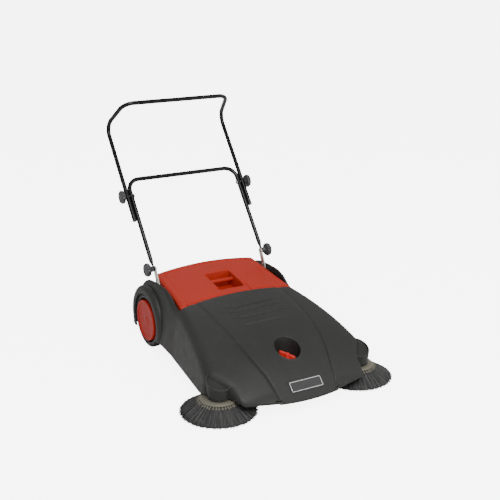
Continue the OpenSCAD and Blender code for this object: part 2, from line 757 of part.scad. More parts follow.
// Solid round bar along points, with every inner corner bent to one radius
module bent_bar(points, r, bend) {
    last = len(points) - 1;
    u = [for (i = [0:last - 1]) unit(points[i + 1] - points[i])];
    turn = [for (i = [0:last - 2]) acos(u[i] * u[i + 1])];
    cut = [for (q = turn) bend * tan(q / 2)];
    for (i = [0:last - 1]) {
        a = points[i] + (i > 0 ? cut[i - 1] : 0) * u[i];
        b = points[i + 1] - (i < last - 1 ? cut[i] : 0) * u[i];
        d = b - a;
        translate(a) rotate([0, acos(d[2] / norm(d)), atan2(d[1], d[0])]) cylinder(r = r, h = norm(d));
    }
    for (i = [0:last - 2]) {
        n = unit(u[i + 1] - (u[i] * u[i + 1]) * u[i]);
        c = points[i + 1] - cut[i] * u[i] + bend * n;
        w = cross(u[i], n);
        multmatrix([[-n[0], u[i][0], w[0], c[0]], [-n[1], u[i][1], w[1], c[1]], [-n[2], u[i][2], w[2],
            c[2]]])
            rotate_extrude(angle = turn[i]) translate([bend, 0]) circle(r = r);
    }
}
// Hollow tube along points, swept ring by ring with its corners bent to one radius
function bent_path(p, bend) = [for (i = [0:len(p) - 1]) each i == 0 || i == len(p) - 1 ? [p[i]] :
    let (u = unit(p[i] - p[i - 1]), v = unit(p[i + 1] - p[i]), turn = acos(u * v),
         cut = bend * tan(turn / 2), n = unit(v - (u * v) * u), c = p[i] - cut * u + bend * n)
    [for (j = [0:6]) let (q = turn * j / 6) c + bend * (sin(q) * u - cos(q) * n)]];
module bent_tube(points, r, wall, bend, k = 12) {
    route = bent_path(points, bend);
    last = len(route) - 1;
    rings = [for (i = [0:last]) let (t = unit(route[min(i + 1, last)] - route[max(i - 1, 0)]),
        a = unit(cross(t, [0, 1, 0.2])), b = cross(t, a))
        for (radius = [r, r - wall], j = [0:k - 1]) let (q = 360 * (j + 0.5) / k)
            route[i] + radius * (cos(q) * a + sin(q) * b)];
    m = 2 * k;
    outer = [for (i = [0:last - 1], j = [0:k - 1], f = [0, 1]) let (a = i * m + j, b = i * m + (j + 1) % k)
        f == 0 ? [a, a + m, b + m] : [a, b + m, b]];
    inner = [for (f = outer) [f[0] + k, f[2] + k, f[1] + k]];
    start = [for (j = [0:k - 1], f = [0, 1]) let (a = j, b = (j + 1) % k) f == 0 ? [a, b, b + k] : [a,
        b + k, a + k]];
    end = [for (f = start) [f[0] + last * m, f[2] + last * m, f[1] + last * m]];
    polyhedron(rings, concat(outer, inner, start, end), convexity = 6);
}
function mirror_path(half) = concat(half, [for (i = [len(half) - 1:-1:0]) [-half[i][0], half[i][1],
    half[i][2]]]);

tab_x = strap_x + bracket_t + 0.4;
tab_t = 4.5;
tab_end = 34;
module lower_handle() {
    route = mirror_path([[lower_x, 0, tab_end], [lower_x, 0, lower_len]]);
    color(black) in_leg_plane() {
        difference() {
            bent_bar(route, tube_r, bend_r);
            bent_bar(route, tube_r - tube_wall, bend_r);
            for (s = [-1, 1]) side(s) along_x(lower_x - 15, 0, clamp_len) cylinder(r = bolt_r, h = 30);
        }
        for (s = [-1, 1]) side(s) difference() {
            union() {
                translate([tab_x, -9, 0]) cube([tab_t, 18, 16]);
                along_x(tab_x, 0, 0) cylinder(r = 9, h = tab_t);
                hull() {
                    translate([tab_x, -9, 15]) cube([tab_t, 18, 1]);
                    translate([lower_x, 0, tab_end - 1]) cylinder(r = tube_r, h = 1, $fn = 32);
                }
            }
            along_x(tab_x - 1, 0, 0) cylinder(r = bolt_r + run, h = 8);
        }
    }
}

tail_at = 200;
module clamp_bolts() {
    color(steel) for (s = [-1, 1]) side(s) in_leg_plane() {
        along_x(lower_x - tube_r - 3, 0, clamp_len) cylinder(r = 7, h = 3);
        along_x(lower_x - tube_r - 3, 0, clamp_len) cylinder(r = bolt_r, h = 274 - lower_x + tube_r + 3);
    }
}

module upper_handle() {
    tail = leg(tail_at);
    route = mirror_path([[upper_x, tail[0], tail[1]], [upper_x, bend_point[0], bend_point[1]],
        [grip_x, grip_point[0], grip_point[1]]]);
    clamp = leg(clamp_len);
    color(black) difference() {
        bent_tube(route, tube_r, tube_wall, bend_r);
        for (s = [-1, 1]) side(s) along_x(upper_x - 15, clamp[0], clamp[1]) cylinder(r = bolt_r + run,
            h = 30);
    }
}
module tube_end_caps() {
    color(black) for (s = [-1, 1]) side(s) in_leg_plane()
        translate([upper_x, 0, tail_at - 4]) cylinder(r = tube_r, h = 4);
}

// Lobed clamp knob on a bolt, with its hub towards the tube
module clamp_knob(s, d, hub_x, disc_x, bolt_x) {
    lobes = 12;
    color(grey) side(s) in_leg_plane() difference() {
        union() {
            along_x(hub_x, 0, d) cylinder(r = 10.5, h = disc_x - hub_x);
            along_x(disc_x, 0, d) linear_extrude(18)
                polygon([for (q = [0:5:355]) (24 + 1.2 * cos(lobes * q)) * [cos(q), sin(q)]]);
        }
        along_x(hub_x - 1, 0, d) cylinder(r = bolt_r + run, h = bolt_x - hub_x + 1.3);
    }
}
module left_upper_knob() { clamp_knob(-1, clamp_len, upper_x + tube_r + 0.4, 258, 274); }
module right_upper_knob() { clamp_knob(1, clamp_len, upper_x + tube_r + 0.4, 258, 274); }
module left_lower_knob() { clamp_knob(-1, 0, tab_x + tab_t + 0.4, 246, 262); }
module right_lower_knob() { clamp_knob(1, 0, tab_x + tab_t + 0.4, 246, 262); }

place() hood();
place() badge_plate();
place() hood_screws();
place() left_side_plate();
place() right_side_plate();
place() front_beam();
place() rear_tie_rod();
place() roller_cowl();
place() hopper_rails();
place() stub_axles();
place() pinion_pins();
place() left_handle_bracket();
place() right_handle_bracket();
place() bracket_screws();
place() bracket_bolts();
place() spindle_bushes();
place() roller_bearings();
place() left_drive_belt();
place() right_drive_belt();
place() left_brush_belt();
place() right_brush_belt();
place() height_guide_posts();
place() hopper_bin();
place() hopper_lid();
place() hopper_grip_bar();
place() hopper_lip_seal();
place() left_wheel_rim();
place() left_tyre();
place() left_ring_gear();
place() left_hub_cap();
place() right_wheel_rim();
place() right_tyre();
place() right_ring_gear();
place() right_hub_cap();
place() left_drive_pinion();
place() right_drive_pinion();
place() roller_shaft();
place() roller_core();
place() roller_bristles();
place() roller_pulleys();
place() left_brush_hub();
place() left_brush_bristles();
place() left_brush_spindle();
place() right_brush_hub();
place() right_brush_bristles();
place() right_brush_spindle();
place() height_knob();
place() height_spindle();
place() caster_carriage();
place() caster_fork();
place() caster_axle();
place() caster_wheel();
place() lower_handle();
place() clamp_bolts();
place() upper_handle();
place() tube_end_caps();
place() left_upper_knob();
place() right_upper_knob();
place() left_lower_knob();
place() right_lower_knob();
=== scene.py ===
import json
from math import atan2, cos, pi, radians, sin, sqrt

import bmesh
import bpy
import numpy as np
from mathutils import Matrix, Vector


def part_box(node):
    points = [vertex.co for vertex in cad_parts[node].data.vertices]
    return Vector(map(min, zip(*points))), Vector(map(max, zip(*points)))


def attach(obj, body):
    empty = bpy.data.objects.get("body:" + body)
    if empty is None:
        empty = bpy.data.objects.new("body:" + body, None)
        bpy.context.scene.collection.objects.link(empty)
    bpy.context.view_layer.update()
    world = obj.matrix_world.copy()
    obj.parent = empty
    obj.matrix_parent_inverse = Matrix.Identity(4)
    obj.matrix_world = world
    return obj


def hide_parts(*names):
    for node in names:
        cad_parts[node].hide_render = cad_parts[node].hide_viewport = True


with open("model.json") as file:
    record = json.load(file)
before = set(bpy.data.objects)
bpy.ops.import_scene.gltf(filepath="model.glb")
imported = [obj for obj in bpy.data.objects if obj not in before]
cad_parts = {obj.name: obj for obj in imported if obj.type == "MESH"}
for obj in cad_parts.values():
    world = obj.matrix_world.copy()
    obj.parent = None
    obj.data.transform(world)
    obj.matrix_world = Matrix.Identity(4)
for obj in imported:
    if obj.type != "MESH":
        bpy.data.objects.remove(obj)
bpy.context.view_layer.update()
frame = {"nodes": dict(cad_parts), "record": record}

# Everything below is worked out in millimetres about the rear axle: y runs back from the axle, z up from the floor
tyreLow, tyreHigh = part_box("left_tyre")
axleY = (tyreLow.y + tyreHigh.y) / 2
axleZ = (tyreLow.z + tyreHigh.z) * 500
millimetre = 0.001


def place(x, y, z):
    # axle millimetres to the frame's metres, any shapes that broadcast together
    points = np.stack(np.broadcast_arrays(x, y, z), axis=-1).astype(float) * millimetre
    return points + np.array([0, axleY, 0])


def smoothStep(t):
    # 0 below 0, 1 above 1, and 3t2 - 2t3 between
    t = np.clip(t, 0, 1)
    return t * t * (3 - 2 * t)


def throughKnots(knots, y, soften):
    # straight lines between knots, averaged over a window so that the corners round off
    knots = np.array(knots, float)
    shifts = np.linspace(-1, 1, 9)
    weights = np.exp(-2 * shifts**2)
    lines = [w * np.interp(y + s * soften, knots[:, 0], knots[:, 1]) for s, w in zip(shifts, weights)]
    return sum(lines) / weights.sum()


def gridQuads(rows, columns, closeRows=False, closeColumns=False, start=0):
    # four corners of every cell of a grid of points
    index = start + np.arange(rows * columns).reshape(rows, columns)
    if closeRows:
        index = np.vstack([index, index[:1]])
    if closeColumns:
        index = np.hstack([index, index[:, :1]])
    corners = [index[:-1, :-1], index[:-1, 1:], index[1:, 1:], index[1:, :-1]]
    return np.stack(corners, axis=-1).reshape(-1, 4)


def bezier(p0, p1, p2, q):
    return p0 * (1 - q) ** 2 + p1 * 2 * q * (1 - q) + p2 * q**2


def makePiece(name, points, faces, paint, body, slotName, replaced=(), wall=0, inward=False, sharp=40):
    # the points and faces become a mesh, faces turned outwards, with a wall and crisp edges where asked for
    points = np.asarray(points, float).reshape(-1, 3)
    mesh = bpy.data.meshes.new(name)
    mesh.from_pydata(points.tolist(), [], [list(f) for f in faces])
    work = bmesh.new()
    work.from_mesh(mesh)
    bmesh.ops.remove_doubles(work, verts=work.verts, dist=0.00002)
    bmesh.ops.dissolve_degenerate(work, edges=work.edges, dist=0.00001)
    work.faces.ensure_lookup_table()
    middle = points.mean(axis=0)
    side = sum(f.calc_area() * (np.array(f.calc_center_median()) - middle) @ np.array(f.normal) for f in work.faces)
    if (side < 0) != inward:
        bmesh.ops.reverse_faces(work, faces=work.faces)
    work.to_mesh(mesh)
    work.free()
    piece = bpy.data.objects.new(name, mesh)
    bpy.context.scene.collection.objects.link(piece)
    if wall:
        solid = piece.modifiers.new("wall", "SOLIDIFY")
        solid.thickness = wall * millimetre
        solid.offset = -1
        solid.use_even_offset = False
        bpy.context.view_layer.update()
        solidMesh = bpy.data.meshes.new_from_object(piece.evaluated_get(bpy.context.evaluated_depsgraph_get()))
        piece.modifiers.clear()
        piece.data = solidMesh
    piece.data.shade_smooth()
    piece.data.set_sharp_from_angle(angle=radians(sharp))
    piece.data.materials.clear()
    piece.data.materials.append(paint)
    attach(piece, body)
    if replaced:
        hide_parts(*replaced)
    return piece


def joinParts(*parts):
    # several (points, faces) lists as one
    points, faces, start = [], [], 0
    for somePoints, someFaces in parts:
        somePoints = np.asarray(somePoints, float).reshape(-1, 3)
        points.append(somePoints)
        faces += [[i + start for i in f] for f in np.asarray(someFaces, dtype=object).tolist()]
        start += len(somePoints)
    return np.concatenate(points), faces


def lathe(profile, centre, axis, sides=96):
    # a profile of (radius, height) pairs turned about an axis: x = r cos a, y = r sin a, height along the axis
    profile = np.array(profile, float)
    angle = np.arange(sides) * 2 * pi / sides
    radius, height = profile[:, :1], profile[:, 1:]
    u, v, w = radius * np.cos(angle), radius * np.sin(angle), height + 0 * angle
    x, y, z = (w, u, v) if axis == "x" else (u, v, w)
    points = place(x + centre[0], y + centre[1], z + centre[2])
    return points.reshape(-1, 3), gridQuads(len(profile), sides, closeColumns=True)


def roundPath(corners, bend, step=6):
    # straight runs joined by arcs of the bend radius, as points a step apart on the arcs
    corners = np.array(corners, float)
    path = [corners[:1]]
    for before, here, after in zip(corners, corners[1:], corners[2:]):
        a, b = before - here, after - here
        a, b = a / np.linalg.norm(a), b / np.linalg.norm(b)
        half = np.arccos(np.clip(a @ b, -1, 1)) / 2
        reach = min(bend / np.tan(half), 0.9 * min(np.linalg.norm(before - here), np.linalg.norm(after - here)))
        radius = reach * np.tan(half)
        heart = here + (a + b) / np.linalg.norm(a + b) * radius / sin(half)
        first, second = here + a * reach - heart, here + b * reach - heart
        sweep = pi - 2 * half
        t = np.linspace(0, 1, max(8, int(radius * sweep / step)))[:, None]
        path.append(heart + (first * np.sin((1 - t) * sweep) + second * np.sin(t * sweep)) / sin(sweep))
    path.append(corners[-1:])
    return np.concatenate(path)


def denser(path, step):
    # the same line with points no further apart than the step
    gaps = np.linalg.norm(np.diff(path, axis=0), axis=1)
    along = np.concatenate([[0], np.cumsum(gaps)])
    wanted = np.union1d(along, np.arange(0, along[-1], step))
    return np.stack([np.interp(wanted, along, path[:, k]) for k in range(3)], axis=1), wanted


def sweep(path, first, wide, deep, sides=24):
    # an ellipse carried along the path; its first axis starts along a given direction and never twists
    tangent = np.gradient(path, axis=0)
    tangent /= np.linalg.norm(tangent, axis=1)[:, None]
    across = [np.array(first, float)]
    for t in tangent:
        v = across[-1] - (across[-1] @ t) * t
        across.append(v / np.linalg.norm(v))
    across = np.array(across[1:])
    other = np.cross(tangent, across)
    angle = np.arange(sides) * 2 * pi / sides
    ring = (np.cos(angle)[None, :, None] * across[:, None] * np.reshape(wide, (-1, 1, 1))
            + np.sin(angle)[None, :, None] * other[:, None] * np.reshape(deep, (-1, 1, 1)))
    points = path[:, None] + ring
    faces = gridQuads(len(path), sides, closeColumns=True).tolist()
    last = (len(path) - 1) * sides
    faces += [list(range(sides))[::-1], list(range(last, last + sides))]
    return place(points[..., 0], points[..., 1], points[..., 2]).reshape(-1, 3), faces


# Shader maths: a socket that adds, subtracts and multiplies by adding Math nodes
class Socket:
    def __init__(self, paint, link):
        self.paint = paint
        self.link = link

    def maths(self, operation, first, second):
        return self.paint.add("Math", {"operation": operation}, {0: first, 1: second})

    def __add__(self, other):
        return self.maths("ADD", self, other)

    def __mul__(self, other):
        return self.maths("MULTIPLY", self, other)

    def __sub__(self, other):
        return self.maths("SUBTRACT", self, other)

    def __rsub__(self, other):
        return self.maths("SUBTRACT", other, self)

    def __pow__(self, other):
        return self.maths("POWER", self, other)

    __radd__ = __add__
    __rmul__ = __mul__


class Paint:
    def __init__(self, name):
        self.material = bpy.data.materials.new(name)
        self.material.use_nodes = True
        self.tree = self.material.node_tree
        self.shader = self.tree.nodes["Principled BSDF"]
        self.place = self.add("TexCoord", {}, {}, "Object")

    def add(self, kind, settings, inputs, output=0):
        node = self.tree.nodes.new("ShaderNode" + kind)
        for key, value in settings.items():
            if key == "stops":
                for stop, (where, colour) in zip(node.color_ramp.elements, value):
                    stop.position, stop.color = where, (*colour, 1)
            else:
                setattr(node, key, value)
        for key, value in inputs.items():
            if isinstance(value, Socket):
                self.tree.links.new(value.link, node.inputs[key])
            else:
                node.inputs[key].default_value = value
        return Socket(self, node.outputs[output])

    def noise(self, size, detail=3, stretch=(1, 1, 1)):
        # clouds about the given size in metres, stretched along an axis where asked for
        where = self.add("Mapping", {}, {"Vector": self.place, "Scale": stretch})
        return self.add("TexNoise", {}, {"Vector": where, "Scale": 1 / size, "Detail": detail}, "Fac")

    def spread(self, value, low, high):
        # 0 at the low value, 1 at the high one
        return self.add("MapRange", {"clamp": True}, {"Value": value, "From Min": low, "From Max": high})

    def blend(self, factor, first, second):
        settings = {"data_type": "RGBA"}
        return self.add("Mix", settings, {0: factor, 6: colour(first), 7: colour(second)}, 2)

    def bump(self, height, distance, strength=1.0):
        return self.add("Bump", {}, {"Height": height, "Distance": distance, "Strength": strength}, "Normal")

    def finish(self, base, roughness, normal=None, **fixed):
        for name, value in (("Base Color", base), ("Roughness", roughness), ("Normal", normal)):
            if isinstance(value, Socket):
                self.tree.links.new(value.link, self.shader.inputs[name])
            elif value is not None:
                self.shader.inputs[name].default_value = value
        for name, value in fixed.items():
            self.shader.inputs[name].default_value = value
        return self.material


def colour(value):
    return value if isinstance(value, Socket) else (*value, 1)


def paintedEdgeHighlight(paint, low=0.52, high=0.62):
    # painted highlight: bright where the surface turns a sharp edge, from the geometry's pointiness
    edge = paint.add("NewGeometry", {}, {}, "Pointiness")
    return paint.spread(edge, low, high)


def mouldedPlastic(name, base, pale, rough, grain=0.0011, depth=0.00012, gloss=0.5):
    # moulded plastic: fine leather grain, slow drifts of tone, a little dust and a painted highlight on sharp edges
    paint = Paint(name)
    drift = paint.noise(0.16, 2)
    blotch = paint.noise(0.03, 4)
    grainLumps = paint.noise(grain, 2)
    dust = paint.spread(paint.noise(0.07, 5) * 0.6 + blotch * 0.4, 0.5, 0.72)
    tone = paint.blend(drift * 0.5 + blotch * 0.2, base, pale)
    # painted highlight on sharp edges, mixed with a little real dust, lightens the tone towards a paler colour
    tone = paint.blend(paintedEdgeHighlight(paint) * 0.35 + dust * 0.06, tone, tuple(min(1, c * 1.9 + 0.02) for c in pale))
    roughness = rough + (blotch - 0.5) * 0.16 + dust * 0.08
    normal = paint.bump(grainLumps + blotch * 0.4, depth)
    return paint.finish(tone, roughness, normal, **{"Specular IOR Level": gloss})


def tubePaint(name):
    # gloss stove enamel on steel tube, with faint orange peel and rubbed patches
    paint = Paint(name)
    peel = paint.noise(0.004, 2)
    rub = paint.spread(paint.noise(0.02, 5), 0.55, 0.7)
    tone = paint.blend(rub * 0.5, (0.002, 0.002, 0.0022), (0.006, 0.006, 0.0065))
    return paint.finish(tone, 0.14 + rub * 0.12, paint.bump(peel, 0.00012),
                        **{"Specular IOR Level": 0.35})


def platedSteel(name, base, pale, rough, grainAxis=(1, 1, 1)):
    # plated steel: streaky brushing, mottled tone and dull stains
    paint = Paint(name)
    streak = paint.noise(0.0016, 3, grainAxis)
    mottle = paint.noise(0.012, 4)
    stain = paint.spread(paint.noise(0.03, 5), 0.55, 0.75)
    tone = paint.blend(streak * 0.5 + mottle * 0.4, base, pale)
    tone = paint.blend(stain * 0.3, tone, tuple(c * 0.5 for c in base))
    return paint.finish(tone, rough + stain * 0.2 + (streak - 0.5) * 0.2, paint.bump(streak, 0.00005), Metallic=0.85)


def rubberPaint(name, base, pale):
    # rubber: matte, dusty in patches
    paint = Paint(name)
    dust = paint.spread(paint.noise(0.02, 6), 0.45, 0.7)
    fine = paint.noise(0.0008, 2)
    tone = paint.blend(dust * 0.6, base, pale)
    return paint.finish(tone, 0.72 + dust * 0.15, paint.bump(fine, 0.0001), **{"Specular IOR Level": 0.35})


def bristlePaint(name, root, tip):
    # nylon bristle: every strand its own shade, by its strand value
    paint = Paint(name)
    strand = paint.add("Attribute", {"attribute_name": "strand"}, {}, "Fac")
    streak = paint.noise(0.002, 3)
    tone = paint.blend(strand * 0.75 + streak * 0.25, root, tip)
    return paint.finish(tone, 0.42 + streak * 0.2, None, **{"Specular IOR Level": 0.5})


paints = {
    "hood_plastic": mouldedPlastic("hoodCharcoal", (0.017, 0.0175, 0.017), (0.031, 0.031, 0.028), 0.5, gloss=0.3),
    "hopper_red": mouldedPlastic("hopperRed", (0.38, 0.022, 0.01), (0.46, 0.036, 0.02), 0.48, depth=0.00006, gloss=0.15),
    "cap_red": mouldedPlastic("capRed", (0.36, 0.013, 0.006), (0.44, 0.022, 0.011), 0.42, depth=0.00005, gloss=0.15),
    "knob_red": mouldedPlastic("knobRed", (0.6, 0.02, 0.014), (0.7, 0.04, 0.03), 0.36, depth=0.00004, gloss=0.35),
    "rim_plastic": mouldedPlastic("rimBlack", (0.012, 0.012, 0.012), (0.028, 0.028, 0.028), 0.45),
    "knob_grey": mouldedPlastic("knobGrey", (0.028, 0.029, 0.031), (0.06, 0.06, 0.064), 0.42, depth=0.00006),
    "plug_black": mouldedPlastic("plugBlack", (0.01, 0.01, 0.01), (0.025, 0.025, 0.025), 0.45, depth=0.00004),
    "badge": mouldedPlastic("badgeBlack", (0.012, 0.012, 0.012), (0.02, 0.02, 0.02), 0.3, depth=0.00002),
    "nylon": mouldedPlastic("nylonWhite", (0.62, 0.6, 0.55), (0.75, 0.74, 0.7), 0.45, depth=0.00004),
    "bolt_steel": platedSteel("boltSteel", (0.36, 0.36, 0.37), (0.6, 0.6, 0.6), 0.3),
    "zinc_steel": platedSteel("zincSteel", (0.34, 0.34, 0.33), (0.52, 0.52, 0.5), 0.36, (0.2, 1, 1)),
    "bracket_steel": platedSteel("bracketSteel", (0.5, 0.47, 0.42), (0.72, 0.69, 0.62), 0.4, (1, 1, 0.15)),
    "white_screw": mouldedPlastic("screwWhite", (0.75, 0.75, 0.74), (0.9, 0.9, 0.9), 0.35, depth=0.00003),
    "tube_black": tubePaint("tubeBlack"),
    "tyre_rubber": rubberPaint("tyreRubber", (0.012, 0.012, 0.012), (0.04, 0.039, 0.036)),
    "belt_rubber": rubberPaint("beltRubber", (0.016, 0.016, 0.016), (0.035, 0.034, 0.033)),
    "bristle": bristlePaint("bristleGrey", (0.014, 0.014, 0.015), (0.12, 0.12, 0.116)),
    "brush_beige": bristlePaint("brushBeige", (0.13, 0.12, 0.09), (0.26, 0.245, 0.19)),
}
outlineWhite = mouldedPlastic("outlineWhite", (0.8, 0.8, 0.8), (0.9, 0.9, 0.9), 0.4, depth=0.00001)

nodeSlots = {part["node"]: part["material_slot"] for part in frame["record"]["subparts"]}
for nodeName, node in frame["nodes"].items():
    node.data.materials.clear()
    node.data.materials.append(paints[nodeSlots[nodeName]])
    node.data.set_sharp_from_angle(angle=radians(32))
print("frame loaded and painted:", len(frame["nodes"]), "nodes")

# Camera, floor and light first, so that every stage can be looked at
view = {"lens": 66.96, "turn": -29.25, "down": 18.27, "from": (-1.503, -2.8217, 1.428), "rise": 0.01}
camera = bpy.data.objects.new("camera", bpy.data.cameras.new("camera"))
bpy.context.scene.collection.objects.link(camera)
camera.data.lens = view["lens"]
camera.data.sensor_width = 36
camera.data.shift_y = view["rise"]
camera.location = view["from"]
camera.rotation_euler = (radians(90 - view["down"]), 0, radians(view["turn"]))
bpy.context.scene.camera = camera

studio = {"floor": 45, "glow": 6, "world": 0.55, "key": 105, "fill": 20, "back": 8}


def softLight(name, power, size, where, aim):
    lamp = bpy.data.lights.new(name, "AREA")
    lamp.energy = power
    lamp.shape = "DISK"
    lamp.size = size
    light = bpy.data.objects.new(name, lamp)
    bpy.context.scene.collection.objects.link(light)
    light.location = where
    direction = np.array(aim, float) - np.array(where, float)
    flat = sqrt(direction[0] ** 2 + direction[1] ** 2)
    light.rotation_euler = (atan2(flat, -direction[2]), 0, atan2(direction[1], direction[0]) - pi / 2)


softLight("keyLight", studio["key"], 2.2, (-0.5, -2.3, 3.0), (0, -0.1, 0.2))
softLight("fillLight", studio["fill"], 2.6, (2.6, -1.9, 1.9), (0, -0.1, 0.2))
softLight("backLight", studio["back"], 2.0, (0.6, 2.6, 2.6), (0, 0.1, 0.2))
world = bpy.data.worlds.new("studio")
world.use_nodes = True
world.node_tree.nodes["Background"].inputs[0].default_value = (1, 1, 1, 1)
world.node_tree.nodes["Background"].inputs[1].default_value = studio["world"]
bpy.context.scene.world = world

floorPaint = Paint("floorPale")
floorTone = floorPaint.blend(floorPaint.noise(0.8, 3), (0.93, 0.93, 0.93), (0.96, 0.96, 0.96))
seen = floorPaint.add("LightPath", {}, {}, "Is Camera Ray")
floorPaint.finish(floorTone, 0.8, None, **{"Emission Strength": studio["glow"]})
# white to the camera alone, so that the floor lights the machine no more than a plain one does
glowTone = floorPaint.blend(seen, (0, 0, 0), (1, 1, 1))
floorPaint.tree.links.new(glowTone.link, floorPaint.shader.inputs["Emission Color"])
floorMesh = bpy.data.meshes.new("floor")
reach = studio["floor"]
floorMesh.from_pydata([(-reach, -reach, 0), (reach, -reach, 0), (reach, reach, 0), (-reach, reach, 0)], [], [(0, 1, 2, 3)])
floor = bpy.data.objects.new("floor", floorMesh)
bpy.context.scene.collection.objects.link(floor)
floorMesh.materials.append(floorPaint.material)
print("camera, floor and lights placed")

hood = {
    "crest": 248, "crown": 0.0004, "lipY": -735, "noseY": -702, "rearY": -240, "lipHalf": 225, "shoulder": 34,
    "skin": 3.5, "panelRise": 1.2, "grooveDepth": 4.6, "setBack": 7, "ribReach": 104, "ribHeight": 2.6,
    "ribs": (-330, -362, -400, -445), "wellY": -582, "wellR": 45, "wellFloor": 112, "holeReach": 75,
}
waistKnots = [(-707, 207), (-702, 225), (-690, 234), (-670, 241), (-645, 250), (-612, 276), (-578, 299.5),
              (-560, 297.2), (-530, 291.9)]
grooveKnots = [(-735, 106), (-715, 112), (-650, 125), (-600, 140), (-520, 155), (-400, 165), (-240, 170)]


def hoodCrest(y):
    # a fall that steepens forwards: 35t + 110t2 + 62t6 from the rear edge to the lip
    t = (-y - 220) / 515
    return hood["crest"] - (35 * t + 110 * t**2 + 62 * t**6)


def hoodHalf(y):
    # parabola at the nose, bulge round the side brushes, straight taper behind
    nose = hood["lipHalf"] * np.sqrt(np.clip((y - hood["lipY"]) / 33, 0, None))
    return np.where(y < hood["noseY"], nose, np.where(y < -545, throughKnots(waistKnots, y, 5), 240 + 0.176 * (-235 - y)))


def hoodFoot(y):
    half = hoodHalf(y) + throughKnots([(-595, 2), (-560, 15), (-235, 29)], y, 8)
    edge = hoodCrest(y) - hood["crown"] * hoodHalf(y) ** 2
    low = throughKnots([(-690, 58), (-660, 60), (-575, 60), (-540, 52), (-235, 50)], y, 4)
    return half, np.where(y < -690, edge - 5 - (y - hood["lipY"]) / 45 * 4, low)


def hoodRelief(x, y):
    # raised middle panel with a soft groove at its edge, and four louvre ribs that taper out
    x = np.abs(x)
    edge = throughKnots(grooveKnots, y, 12)
    front = smoothStep((-y - 380) / 280)
    wide = 7 - 4 * front
    panel = hood["panelRise"] * front * smoothStep((edge - x) / (wide + 3))
    groove = -hood["grooveDepth"] * (0.55 + 0.45 * front) * np.exp(-((x - edge) / wide) ** 2)
    window = smoothStep((hood["ribReach"] - x) / 22)
    ribs = sum(np.exp(-((y - rib - 0.0006 * x**2) / 3.0) ** 2) - 0.55 * np.exp(-((y - rib + 6.5 - 0.0006 * x**2) / 3.4) ** 2)
               for rib in hood["ribs"])
    return panel + groove + hood["ribHeight"] * ribs * window


def hoodTop(x, y):
    return hoodCrest(y) - hood["crown"] * x**2 + hoodRelief(x, y)


def openRound(x, y, radius, reach):
    # square rings of the grid become circles at the hole and stay square by the reach
    square = np.maximum(np.abs(x), np.abs(y))
    away = np.hypot(x, y)
    keep = smoothStep((square - radius) / (reach - radius))
    factor = np.where(away > 0, square / np.maximum(away, 1e-6), 1)
    factor = np.where(square < reach, factor * (1 - keep) + keep, 1)
    return x * factor, y * factor


def hoodPanel():
    # rows of y stations; each row runs foot, wall, rounded shoulder, crown and back down
    nose = -735 + 33 * np.linspace(0.05, 1, 24) ** 2
    reach, wellY = hood["holeReach"], hood["wellY"]
    y = np.concatenate([nose[:1], nose, np.linspace(-698, wellY - reach - 4, 11), wellY + np.linspace(-reach, reach, 41),
                        np.linspace(-503, -466, 12), np.arange(-464, -314, 1.6), np.linspace(-311, -240, 22)])[:, None]
    half, crest = hoodHalf(y), hoodCrest(y)
    footX, footZ = hoodFoot(y)
    edgeZ = crest - hood["crown"] * half**2
    turn = np.minimum(hood["shoulder"], np.minimum(0.6 * (edgeZ - footZ), 0.5 * half))
    limit = half - turn
    band = np.minimum(reach, 0.4 * limit)
    groove = np.minimum(throughKnots(grooveKnots, y, 12), 0.76 * limit)
    tight = np.minimum(1, limit / 150)
    offsets = np.array([-13, -9, -6.5, -4.5, -3, -1.5, 0, 1.5, 3, 4.5, 6.5, 9, 13])[None] * tight
    inner = band * np.linspace(0, 1, 21)[None]
    middle = band + (groove - 13 * tight - band) * np.linspace(0, 1, 6)[None, 1:-1]
    outer = groove + 13 * tight + (limit - groove - 13 * tight) * np.linspace(0, 1, 9)[None, 1:]
    crownX = np.concatenate([inner, middle, groove + offsets, outer], axis=1)
    crownX = np.concatenate([-crownX[:, :0:-1], crownX], axis=1)
    crownY = y + 0 * crownX
    holeX, holeY = openRound(crownX, crownY - wellY, hood["wellR"], reach)
    crownX, crownY = holeX, holeY + wellY
    q = np.linspace(0, 1, 12)[None, 1:]
    wallRun = np.concatenate([footX - half, footZ - edgeZ], axis=1)
    wallRun = wallRun / np.linalg.norm(wallRun, axis=1)[:, None]
    turnX = bezier(limit, half, half + wallRun[:, :1] * turn, q)
    turnZ = bezier(crest - hood["crown"] * limit**2, edgeZ, edgeZ + wallRun[:, 1:] * turn, q)
    t = np.linspace(0, 1, 9)[None, 1:]
    wallX = turnX[:, -1:] + (footX - turnX[:, -1:]) * t
    wallZ = turnZ[:, -1:] + (footZ - turnZ[:, -1:]) * t
    sideX, sideZ = np.concatenate([turnX, wallX], axis=1), np.concatenate([turnZ, wallZ], axis=1)
    fade = np.concatenate([1 - q, 0 * t], axis=1)
    sideZ = sideZ + fade * hoodRelief(sideX, y + 0 * sideX)
    x = np.concatenate([-sideX[:, ::-1], crownX, sideX], axis=1)
    z = np.concatenate([sideZ[:, ::-1], hoodTop(crownX, crownY), sideZ], axis=1)
    yy = np.concatenate([y + 0 * sideX, crownY, y + 0 * sideX], axis=1)
    panelEdge = throughKnots(grooveKnots, yy, 12)
    yy = yy + hood["setBack"] * smoothStep((np.abs(x) - panelEdge - 1) / 5) * smoothStep((-yy - 690) / 30)
    # the first row closes the lip's front edge
    z[0] = footZ[0]
    rows, columns = x.shape
    quads = gridQuads(rows, columns)
    centreX, centreY = x.ravel()[quads].mean(1), yy.ravel()[quads].mean(1)
    centreZ = z.ravel()[quads].mean(1)
    inWell = (np.hypot(centreX, centreY - wellY) < hood["wellR"] - 0.5) & (centreZ > 90)
    return place(x, yy, z), quads[~inWell]


corner = {"x": 270, "y": -607, "low": 38, "high": 46, "foot": 57.5, "top": 113, "slope": 0.41}
